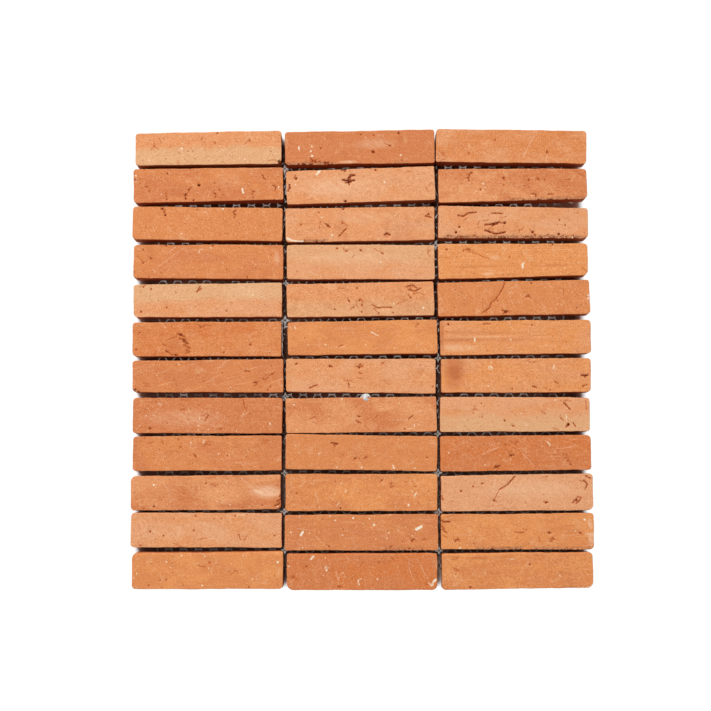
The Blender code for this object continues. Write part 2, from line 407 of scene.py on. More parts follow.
# The slips
# Each slip is one thin brick, pressed by hand into a sanded mould, struck off and fired. Its face keeps
# the drag of the strike, shrinkage cracks, pits and flecks of lime. It is glued to the net by its back.
FACE_CELLS = (168, 39)
EDGE_STEPS = (0.0, 0.16, 0.42, 0.85)
SIDE_DEPTHS = (0.16, 0.42, 0.85, 1.6, 3.0, 5.0, 7.5, 10.0, 11.4, 11.9, 12.0)
CORNER_RADIUS = (0.9, 1.6)
OUTER_CORNER_RADIUS = (2.0, 2.9)
ARRIS_RADIUS = 0.32
BACK_EASE = 0.5
USUAL_REACH = {
    "pits": 0.4, "cracks": 0.06, "flecks": 0.35, "streaks": 0.4,
    "scrapes": 0.2, "craters": 2.3, "chips": 1.3}
BITE_DEPTH = 0.75
PIT_DEPTH = 0.8
CRACK_DEPTH = 0.8
CRATER_DEPTH = 0.9
# The millimetres in one unit of the marks' own measure, along the slip and down it
MARK_SCALE = (0.988, 0.98)


def slip_blank():
    """A finely divided face with a skirt of rings down its sides and a plain back."""
    bm = bmesh.new()
    bmesh.ops.create_grid(bm, x_segments=FACE_CELLS[0], y_segments=FACE_CELLS[1], size=1.0)
    rim = [edge for edge in bm.edges if edge.is_boundary]
    for _ in SIDE_DEPTHS:
        skirt = bmesh.ops.extrude_edge_only(bm, edges=rim)["geom"]
        bmesh.ops.translate(bm, vec=(0, 0, -1), verts=only(skirt, bmesh.types.BMVert))
        rim = [edge for edge in only(skirt, bmesh.types.BMEdge) if edge.is_boundary]
    bmesh.ops.holes_fill(bm, edges=rim, sides=0)
    bmesh.ops.recalc_face_normals(bm, faces=bm.faces)
    return mesh_from(bm, "slip_blank")


def place_of(node):
    """Where a slip's solid lies: its middle, turn, length, mean height, flare to the left, and top level."""
    solid = np.array([vert.co[:] for vert in bpy.data.objects[node].data.vertices]) / MM
    plan = np.unique(solid[:, :2].round(4), axis=0)
    middle = (plan.min(0) + plan.max(0)) / 2
    for _ in range(3):
        _, axes = np.linalg.eigh(np.cov((plan - middle).T))
        along = axes[:, 1] * np.sign(axes[0, 1])
        across = np.array((-along[1], along[0]))
        local = np.stack(((plan - middle) @ along, (plan - middle) @ across), 1)
        middle = middle + (local.min(0) + local.max(0)) / 2 @ np.stack((along, across))
    left, right = (np.ptp(local[side, 1]) for side in (local[:, 0] < 0, local[:, 0] > 0))
    turn = math.atan2(along[1], along[0])
    return middle, turn, np.ptp(local[:, 0]), (left + right) / 2, left - right, solid[:, 2].max()


def field(points, scale, seed):
    """Smooth noise, from -1 to 1, at each point."""
    return np.array([noise.noise(Vector(point)) for point in points * scale + seed])


def ease(values, low, high):
    """Values eased from 0 at low to 1 at high."""
    share = np.clip((values - low) / (high - low), 0, 1)
    return share * share * (3 - 2 * share)


def nearest(plan, low, marks, *kinds):
    """How deep inside the marks of some kinds each point is, with the way to the nearest and its reach."""
    deep = np.full(len(plan), -3.0)
    way = np.full((len(plan), 3), (3.0, 0.0, 0.0))
    for usual, mark in ((USUAL_REACH[kind], mark) for kind in kinds for mark in marks.get(kind, ())):
        if np.isscalar(mark[-1]):
            reach, path = (mark[2] if len(mark) > 2 else usual), (mark[:2], mark[:2])
        else:
            reach, path = (mark[0], mark[1:]) if np.isscalar(mark[0]) else (usual, mark)
        for start, stop in zip(path, path[1:]):
            run = np.subtract(stop, start, dtype=float)
            off = plan - start
            off = off - np.clip(off @ run / max(run @ run, 1e-9), 0, 1)[:, None] * run
            inside = reach - low - np.hypot(off[:, 0], off[:, 1])
            closer = inside > deep
            deep[closer] = inside[closer]
            way[closer] = np.column_stack((off, reach - low))[closer]
    return deep, way


def clouds_at(plan, clouds):
    """How much each point lies in some soft-edged oval patches."""
    cover = np.zeros(len(plan))
    for x, y, reach_x, reach_y, share in clouds:
        away = np.hypot((plan[:, 0] - x) / reach_x, (plan[:, 1] - y) / reach_y)
        cover = np.maximum(cover, share * ease(-away, -1.25, -0.3))
    return cover


def outline_of(blank, length, height, flare, radii):
    """The slip's plan: where each point lies, how deep inside the outline it is, and which way is out."""
    u, v, _ = blank.T
    half_length = length / 2
    cells_in, cells_up = ((1 - np.abs(grid)) * cells / 2 for grid, cells in zip((u, v), FACE_CELLS))
    steps_in = np.interp(cells_in, (0, 1, 2, 3, FACE_CELLS[0] / 2), (*EDGE_STEPS, half_length))
    x = np.sign(u) * (half_length - steps_in)
    half_height = (height - flare * x / length) / 2
    share = np.interp(cells_up, (0, 1, 2, 3, FACE_CELLS[1] / 2), (*EDGE_STEPS, height / 2)) / (height / 2)
    y = np.sign(v) * half_height * (1 - share)
    side = (x > 0).astype(int) + 2 * (y < 0)
    radius = np.array(radii)[side]
    corner_x = np.clip((np.abs(x) - half_length + radius) / radius, 0, 1)
    corner_y = np.clip((np.abs(y) - half_height + radius) / radius, 0, 1)
    round_x = corner_x * np.sqrt(1 - corner_y**2 / 2)
    round_y = corner_y * np.sqrt(1 - corner_x**2 / 2)
    x = np.sign(x) * (np.abs(x) - (corner_x - round_x) * radius)
    y = np.sign(y) * (np.abs(y) - (corner_y - round_y) * radius)
    in_corner = (round_x > 0) & (round_y > 0)
    reach = np.maximum(np.hypot(round_x, round_y), 1e-9)
    to_end, to_side = half_length - np.abs(x), half_height - np.abs(y)
    inside = np.where(in_corner, radius * (1 - reach), np.minimum(to_end, to_side))
    near_end = to_end < to_side
    out_x = np.where(in_corner, np.sign(x) * round_x / reach, np.where(near_end, np.sign(x), 0.0))
    out_y = np.where(in_corner, np.sign(y) * round_y / reach, np.where(near_end, 0.0, np.sign(y)))
    return x, y, inside, out_x, out_y


def shape_slip(blank, length, height, flare, seed, marks, outer):
    """One slip's surface in its own millimetres, with the masks that its clay is painted by."""
    draw = random.Random(seed)
    radii = marks.get("corners") or [
        draw.uniform(*(OUTER_CORNER_RADIUS if worn else CORNER_RADIUS)) for worn in outer]
    x, y, inside, out_x, out_y = outline_of(blank, length, height, flare, radii)
    ring = blank[:, 2].round().astype(int)
    depth = np.concatenate(((0.0,), SIDE_DEPTHS))[ring]
    on_face = ring == 0
    on_back = ring == len(SIDE_DEPTHS)
    flat = np.stack((x, y, -depth), 1)

    radius = ARRIS_RADIUS * (1 + 0.5 * field(flat, 0.11, seed))
    radius = radius + marks.get("shoulder", 0.0) * ease(out_y, 0.5, 1.0)
    lean = np.clip(1 - np.where(on_face, inside, depth) / radius, 0, 1)
    away = 1 / np.sqrt(1 + lean**2)
    long_way, short_way = radius * (1 - lean * away), radius * (1 - away)
    past = lean <= 0
    drawn_in = np.where(on_face, np.where(past, inside, long_way), np.where(past, 0.0, short_way))
    drop = np.where(on_face, np.where(past, 0.0, short_way), np.where(past, depth, long_way))
    drawn_in = np.where(on_back, BACK_EASE, drawn_in)
    x = x + out_x * (inside - drawn_in)
    y = y + out_y * (inside - drawn_in)
    points = np.stack((x, y, -drop), 1)

    plan = np.stack((x + length / 2, height / 2 - y), 1) / MARK_SCALE
    wobble = np.stack([field(points, 0.8, seed + shift) for shift in (61, 67)], 1)
    low = drop * 0.8
    pits, pit_way = nearest(plan, low, marks, "pits")
    cracks, crack_way = nearest(plan, low, marks, "cracks")
    chalk, chalk_way = nearest(plan, low, marks, "flecks", "streaks")
    scrape, scrape_way = nearest(plan, low, marks, "scrapes")
    bowls, _ = nearest(plan, low, marks, "craters")
    chips, _ = nearest(plan + 0.8 * wobble, low, marks, "chips")

    edge = ease(-drawn_in, -3.0, 0.0)
    wave = 0.30 * field(points, 0.045, seed) + 0.20 * field(points, 0.17, seed + 5)
    worn = 0.05 * field(points, 0.6, seed + 9)
    crumble = np.zeros(len(x))
    for begin, end, share in marks.get("crumbly", ()):
        along = ease(plan[:, 0], begin - 3, begin + 1) * ease(-plan[:, 0], -end - 3, -end + 1)
        crumble = np.maximum(crumble, share * along)
    lower = ease(-out_y, 0.3, 0.8) * ease(-drawn_in, -2.6, -0.2) * ease(-drop, -4.0, -0.5)
    strip = ease(-out_y, 0.3, 0.8) * ease(-drawn_in + 1.1 * field(points, 0.35, seed + 47), -2.1, -1.0)
    strip = crumble * strip * ease(-drop, -1.6, -0.3)
    bitten = ease(field(points, 0.5, seed + 17) + 0.6 * field(points, 1.1, seed + 19), -0.05, 0.7)
    chipped = ease(chips, -0.1, 1.2) * np.minimum(chips + 0.4, 2.0).clip(0)
    bites = BITE_DEPTH * crumble * lower * bitten + BITE_DEPTH * chipped
    out = np.where(on_back, 0.0, edge * (wave + worn) - bites)
    points[:, 0] += out_x * out
    points[:, 1] += out_y * out
    points[:, 2] -= np.where(on_face, bites * 0.9 + strip * (0.2 + 0.3 * field(points, 1.3, seed + 53)), 0)

    top = np.where(on_face, ease(inside, 0.0, 1.5), 0)
    rolling = 0.16 * field(points, 0.05, seed + 23) + 0.05 * field(points, 0.30, seed + 31)
    drag = 0.04 * field(points * (0.35, 2.4, 1.0), 0.5, seed + 41)
    sink = PIT_DEPTH * np.minimum(pits + 0.45, 1.0).clip(0) + CRACK_DEPTH * ease(cracks, -0.25, 0.45)
    bowl = ease(bowls, -0.2, 1.6) * CRATER_DEPTH
    points[:, 2] += top * (rolling + drag) - np.where(on_face, sink + bowl, 0)
    in_pit = pits > cracks
    masks = {
        "hollow": np.where(in_pit, pits, cracks),
        "hollow_way": np.where(in_pit[:, None], pit_way, crack_way),
        "chalk": chalk,
        "chalk_way": chalk_way,
        "scrape": scrape,
        "scrape_way": scrape_way,
        "torn": np.maximum(ease(bites, 0.06, 0.6), strip),
        "smear": clouds_at(plan, marks.get("smears", ())),
        "stain": clouds_at(plan, marks.get("stains", ())),
    }
    return points, masks


CLAY_TONES = {
    "peach": (0.76, 0.31, 0.125),
    "sand": (0.74, 0.41, 0.205),
    "pink": (0.77, 0.36, 0.175),
    "orange": (0.70, 0.245, 0.080),
    "amber": (0.78, 0.30, 0.095),
    "rust": (0.64, 0.205, 0.072),
    "ember": (0.66, 0.192, 0.052),
}
BLOTCH = (0.47, 0.115, 0.035, 1)
CREAM = (0.86, 0.47, 0.25, 1)
PALE_DRAG = (0.88, 0.50, 0.28, 1)
DARK_DRAG = (0.48, 0.145, 0.045, 1)
PALE_MOTTLE = (0.88, 0.50, 0.26, 1)
DARK_MOTTLE = (0.52, 0.16, 0.05, 1)
DARK_GRAIN = (0.43, 0.115, 0.035, 1)
SAND_GRAIN = (0.97, 0.70, 0.48, 1)
PINHOLE = (0.38, 0.070, 0.014, 1)
GAP = (0.30, 0.045, 0.009, 1)
SAND_SPECK = (0.93, 0.68, 0.44, 1)
LIME = (0.86, 0.77, 0.62, 1)
CHALK_EDGE = (0.88, 0.60, 0.38, 1)
RUBBED_PALE = (0.87, 0.56, 0.35, 1)
STAIN = (0.46, 0.115, 0.040, 1)
CRUMB_SHADE = (0.22, 0.045, 0.016, 1)
CRUMB = (0.72, 0.38, 0.20, 1)
# Painted shade and red bounce light down the slips' sides
SIDE_SHADE = (0.40, 0.095, 0.030, 1)
SIDE_SHADE_LEVELS = (12.35, 11.5)
SCRAPED = (0.87, 0.52, 0.33, 1)
RIM_BURN = (0.50, 0.120, 0.030, 1)
# The hollows' darker red clay and their painted shade
HOLLOW_RED_AND_SHADE = (0.21, 0.028, 0.007, 1)
HOLLOW_SHADE_BLACK = (0.072, 0.008, 0.003, 1)


def clay_group():
    """Fired clay: clouded tones, a band of sand, stains, drag lines, sandy grain, lime flecks and pits, with
    painted shade.
    """
    group = bpy.data.node_groups.new("fired_clay", "ShaderNodeTree")
    face = group.interface
    face.new_socket("Place", in_out="INPUT", socket_type="NodeSocketVector")
    for name in ("Body", "Cloud", "Band"):
        face.new_socket(name, in_out="INPUT", socket_type="NodeSocketColor")
    for name in ("Seed", "Band level", "Band width", "Band share", "Stain", "Drag", "Drag turn", "Flecks",
                 "Pits", "Shade in hollows"):
        face.new_socket(name, in_out="INPUT", socket_type="NodeSocketFloat")
    face.new_socket("Colour", in_out="OUTPUT", socket_type="NodeSocketColor")
    for name in ("Roughness", "Height"):
        face.new_socket(name, in_out="OUTPUT", socket_type="NodeSocketFloat")
    given = group.nodes.new("NodeGroupInput").outputs
    shift = add(group, "ShaderNodeVectorMath", {0: (113.0, 37.0, 71.0), 3: given["Seed"]}, operation="SCALE")
    moved = add(group, "ShaderNodeVectorMath", {0: given["Place"], 1: shift.outputs[0]}, operation="ADD")
    where = moved.outputs[0]

    def painted(name):
        return add(group, "ShaderNodeAttribute", attribute_name=name).outputs["Fac"]

    def times(first, second):
        return maths(group, "MULTIPLY", first, second)

    def plus(first, second):
        return maths(group, "ADD", first, second)

    shake = add(group, "ShaderNodeTexNoise", {"Vector": where, "Scale": 0.6, "Detail": 4.0, "Roughness": 0.7})

    def inside(name, ragged):
        """How deep inside the nearest mark a point is, drawn sharper than the mesh is divided."""
        way = add(group, "ShaderNodeAttribute", attribute_name=name + "_way").outputs["Vector"]
        jitter = add(group, "ShaderNodeVectorMath", {
            0: shake.outputs["Color"], 1: (ragged, ragged, 0.0), 2: (-ragged / 2, -ragged / 2, 0.0)},
            operation="MULTIPLY_ADD")
        moved = add(group, "ShaderNodeVectorMath", {0: way, 1: jitter.outputs[0]}, operation="ADD")
        split = parts_of(group, moved.outputs[0])
        away = plus(times(split["X"], split["X"]), times(split["Y"], split["Y"]))
        deep = maths(group, "SUBTRACT", split["Z"], maths(group, "POWER", away, 0.5))
        return maths(group, "MINIMUM", deep, plus(painted(name), 0.42))

    clouds = noise_of(group, stretched(group, where, (0.5, 1.0, 1.0)), 0.07, 3.0, 0.55, 0.6)
    colour = blend_colour(group, ramp(group, clouds, 0.38, 0.66), given["Body"], given["Cloud"])

    def lay(share, tone):
        """Lay one more tone over the clay."""
        nonlocal colour
        colour = blend_colour(group, share, colour, tone)

    wander = noise_of(group, where, 0.06, 2.0)
    split = parts_of(group, given["Place"])
    level = plus(split["Y"], times(maths(group, "SUBTRACT", wander, 0.5), 10.0))
    over = maths(group, "DIVIDE", maths(group, "SUBTRACT", level, given["Band level"]), given["Band width"])
    band = times(ramp(group, over, -1.0, 1.0), given["Band share"])
    lay(band, given["Band"])

    blotch = ramp(group, noise_of(group, where, 0.11, 4.0, 0.6, 0.4), 0.50, 0.72)
    lay(times(blotch, given["Stain"]), BLOTCH)
    cream = ramp(group, noise_of(group, where, 0.16, 3.0, 0.6, 0.8), 0.55, 0.75, 0.0, 0.4)
    lay(cream, CREAM)

    lines = stretched(group, where, (0.07, 1.1, 1.0), given["Drag turn"])
    drag = noise_of(group, lines, 0.8, 3.0, 0.6, 0.3)
    pale = times(times(ramp(group, drag, 0.56, 0.74), given["Drag"]), 0.6)
    lay(pale, PALE_DRAG)
    dark = times(times(ramp(group, drag, 0.44, 0.26), given["Drag"]), 0.45)
    lay(dark, DARK_DRAG)
    scratch = noise_of(group, stretched(group, where, (0.10, 2.2, 1.0), 0.7), 0.7, 2.0, 0.5, 0.5)
    patchy = ramp(group, noise_of(group, where, 0.09, 1.0), 0.5, 0.62)
    lay(times(ramp(group, scratch, 0.64, 0.72, 0.0, 0.5), patchy), PALE_DRAG)
    lay(times(ramp(group, scratch, 0.34, 0.27, 0.0, 0.5), patchy), DARK_DRAG)

    grain = noise_of(group, where, 1.4, 3.0, 0.75)
    mottle = noise_of(group, where, 0.5, 3.0, 0.65)
    for pattern, low, high, share, tone in (
            (mottle, 0.50, 0.75, 0.16, PALE_MOTTLE), (mottle, 0.50, 0.25, 0.14, DARK_MOTTLE),
            (grain, 0.50, 0.30, 0.72, DARK_GRAIN), (grain, 0.55, 0.75, 0.62, SAND_GRAIN)):
        lay(ramp(group, pattern, low, high, 0.0, share), tone)

    def scattered(scale, stretch, turn, least, most, share):
        """Specks strewn about, each with a number of its own from 0 to 1."""
        cells = add(group, "ShaderNodeTexVoronoi", {
            "Vector": stretched(group, where, stretch, turn), "Scale": scale})
        dice = add(group, "ShaderNodeSeparateColor", {0: cells.outputs["Color"]})
        size = ramp(group, dice.outputs["Red"], 0.0, 1.0, least * scale, most * scale)
        within = maths(group, "SUBTRACT", size, cells.outputs["Distance"])
        picked = maths(group, "GREATER_THAN", share, dice.outputs["Green"])
        return times(ramp(group, within, -0.12 * scale, 0.12 * scale), picked), dice.outputs["Blue"]

    pinholes, tint = scattered(0.42, (0.8, 1.0, 1.0), 0.4, 0.16, 0.42, 0.58)
    pinholes = times(times(pinholes, ramp(group, tint, 0.0, 1.0, 0.35, 0.9)), given["Pits"])
    lay(pinholes, PINHOLE)
    gaps, _ = scattered(0.16, (0.5, 1.0, 1.0), 0.9, 0.2, 0.45, 0.45)
    gaps = times(times(gaps, given["Pits"]), 0.6)
    lay(gaps, GAP)
    sand, tint = scattered(0.45, (1.0, 1.0, 1.0), 1.3, 0.12, 0.38, 0.35)
    sand = times(times(sand, ramp(group, tint, 0.0, 1.0, 0.25, 0.7)), given["Flecks"])
    lay(sand, SAND_SPECK)
    lime, _ = scattered(0.15, (1.0, 0.6, 1.0), 0.2, 0.15, 0.38, 0.2)
    lay(times(times(lime, given["Flecks"]), 0.85), LIME)

    nibble = maths(group, "SUBTRACT", noise_of(group, where, 1.6, 3.0, 0.6), 0.5)
    rubbed = noise_of(group, stretched(group, where, (0.4, 1.6, 1.0), 0.5), 0.35, 4.0, 0.65, 0.4)
    smear = times(painted("smear"), ramp(group, rubbed, 0.34, 0.62, 0.2, 0.9))
    lay(smear, RUBBED_PALE)
    soaked = ramp(group, noise_of(group, where, 0.3, 3.0, 0.6), 0.2, 0.55, 0.55, 1.0)
    lay(times(painted("stain"), soaked), STAIN)
    # Torn clay along crumbly edges: pale crumbs with painted shade between them.
    torn = times(painted("torn"), ramp(group, mottle, 0.35, 0.55, 0.6, 1.0))
    crumbs = blend_colour(group, ramp(group, grain, 0.42, 0.62), CRUMB_SHADE, CRUMB)
    lay(torn, crumbs)
    # Painted shade: the sides below the face are darkened and reddened, for the shade and the red light
    # bounced about in the narrow joints.
    side = times(ramp(group, split["Z"], *SIDE_SHADE_LEVELS), 0.75)
    lay(side, SIDE_SHADE)
    scrape = times(ramp(group, plus(inside("scrape", 0.5), nibble), -0.15, 0.15),
                   ramp(group, rubbed, 0.30, 0.60, 0.10, 0.65))
    lay(scrape, SCRAPED)
    hollow = plus(inside("hollow", 1.7), nibble)
    lay(times(ramp(group, hollow, -0.50, -0.02), 0.8), RIM_BURN)
    # Painted shade in the pits and cracks: a darker red-brown clay, then near black in their middles where
    # shade falls.
    faint = times(ramp(group, noise_of(group, where, 0.8, 2.0), 0.40, 0.58, 0.3, 1.0), given["Shade in hollows"])
    lay(times(ramp(group, hollow, -0.04, 0.20), faint), HOLLOW_RED_AND_SHADE)
    lay(times(ramp(group, hollow, 0.12, 0.46), given["Shade in hollows"]), HOLLOW_SHADE_BLACK)
    chalk = plus(inside("chalk", 1.3), times(nibble, 1.4))
    lay(times(ramp(group, chalk, -0.12, 0.12), 0.7), CHALK_EDGE)
    lay(ramp(group, chalk, 0.12, 0.50), LIME)

    relief = plus(times(grain, 0.6), times(drag, times(given["Drag"], 0.5)))
    relief = maths(group, "SUBTRACT", relief, times(maths(group, "MAXIMUM", pinholes, gaps), 1.5))
    given_out = group.nodes.new("NodeGroupOutput").inputs
    group.links.new(colour, given_out["Colour"])
    group.links.new(ramp(group, grain, 0.3, 0.7, 0.80, 0.95), given_out["Roughness"])
    group.links.new(relief, given_out["Height"])
    return group


def clay_material(name, middle, turn, seed, look, shade_in_hollows):
    """The clay of one slip: its own tones and marks, laid out from the middle of its face."""
    material, tree, shader = new_material(f"clay_{name}")
    place = add(tree, "ShaderNodeMapping", {
        "Vector": place_in(tree),
        "Location": (middle[0] * MM, middle[1] * MM, 0.0),
        "Rotation": (0.0, 0.0, turn),
        "Scale": (MM, MM, MM)}, vector_type="TEXTURE")
    clay = tree.nodes.new("ShaderNodeGroup")
    clay.node_tree = CLAY
    tree.links.new(place.outputs[0], clay.inputs["Place"])
    values = {
        "Body": (*CLAY_TONES[look["body"]], 1), "Cloud": (*CLAY_TONES[look["cloud"]], 1),
        "Band": (*CLAY_TONES["sand"], 1), "Seed": seed,
        "Band level": look.get("level", 0.0), "Band width": look.get("soft", 4.0),
        "Band share": look.get("share", 0.0), "Stain": look.get("stain", 0.25),
        "Drag": look.get("drag", 0.5), "Drag turn": look.get("turn", 0.0),
        "Flecks": look.get("flecks", 0.8), "Pits": look.get("pits", 0.8), "Shade in hollows": shade_in_hollows}
    for key, value in values.items():
        clay.inputs[key].default_value = value
    tree.links.new(clay.outputs["Colour"], shader.inputs["Base Color"])
    tree.links.new(clay.outputs["Roughness"], shader.inputs["Roughness"])
    roughen(tree, shader, clay.outputs["Height"], 0.6, 0.25 * MM)
    shader.inputs["Specular IOR Level"].default_value = 0.15
    return material


CLAY = clay_group()

# The tone of each slip, row by row from the top, and what sets it apart
LOOKS = {
    (1, 1): dict(body="peach", cloud="peach", level=0.5, soft=-2.5, share=0.95, stain=0.1),
    (1, 2): dict(body="rust", cloud="rust", stain=0.3),
    (1, 3): dict(body="orange", cloud="pink", stain=0.15, pits=0.6),
    (2, 1): dict(body="rust", cloud="orange", stain=0.4, pits=1.0),
    (2, 2): dict(body="pink", cloud="peach", stain=0.1),
    (2, 3): dict(body="rust", cloud="peach", stain=0.3),
    (3, 1): dict(body="orange", cloud="orange", stain=0.05, drag=0.25, flecks=0.5, pits=0.5),
    (3, 2): dict(body="peach", cloud="pink", stain=0.35),
    (3, 3): dict(body="peach", cloud="pink"),
    (4, 1): dict(body="orange", cloud="rust", stain=0.1),
    (4, 2): dict(body="peach", cloud="pink", soft=5.0, share=0.7, stain=0.05),
    (4, 3): dict(body="amber", cloud="amber", drag=0.9, stain=0.1),
    (5, 1): dict(body="peach", cloud="pink", soft=2.5, share=0.95, stain=0.05),
    (5, 2): dict(body="peach", cloud="peach", level=-2.0, soft=-4.0, share=0.6, stain=0.3),
    (5, 3): dict(body="orange", cloud="orange", drag=0.6, turn=1.2, stain=0.2),
    (6, 1): dict(body="ember", cloud="orange", stain=0.3),
    (6, 2): dict(body="orange", cloud="amber", stain=0.1),
    (6, 3): dict(body="amber", cloud="peach", drag=0.8, stain=0.1),
    (7, 1): dict(body="rust", cloud="orange", drag=0.8, turn=-0.25, stain=0.2),
    (7, 2): dict(body="peach", cloud="pink", stain=0.15),
    (7, 3): dict(body="peach", cloud="amber", stain=0.2),
    (8, 1): dict(body="rust", cloud="rust", stain=0.1),
    (8, 2): dict(body="rust", cloud="peach", stain=0.1),
    (8, 3): dict(body="peach", cloud="pink", level=-1.0, soft=-4.0, share=0.9, stain=0.15),
    (9, 1): dict(body="orange", cloud="rust", stain=0.35),
    (9, 2): dict(body="orange", cloud="orange", stain=0.2),
    (9, 3): dict(body="ember", cloud="rust", stain=0.3),
    (10, 1): dict(body="rust", cloud="peach", stain=0.2),
    (10, 2): dict(body="orange", cloud="amber", stain=0.15),
    (10, 3): dict(body="pink", cloud="pink", stain=0.1),
    (11, 1): dict(body="peach", cloud="pink", stain=0.15),
    (11, 2): dict(body="orange", cloud="rust", stain=0.3),
    (11, 3): dict(body="amber", cloud="orange", stain=0.1),
    (12, 1): dict(body="orange", cloud="amber", stain=0.15, drag=0.3),
    (12, 2): dict(body="ember", cloud="rust", drag=0.6, turn=1.3, stain=0.3, flecks=0.6),
    (12, 3): dict(body="orange", cloud="amber", stain=0.15),
}

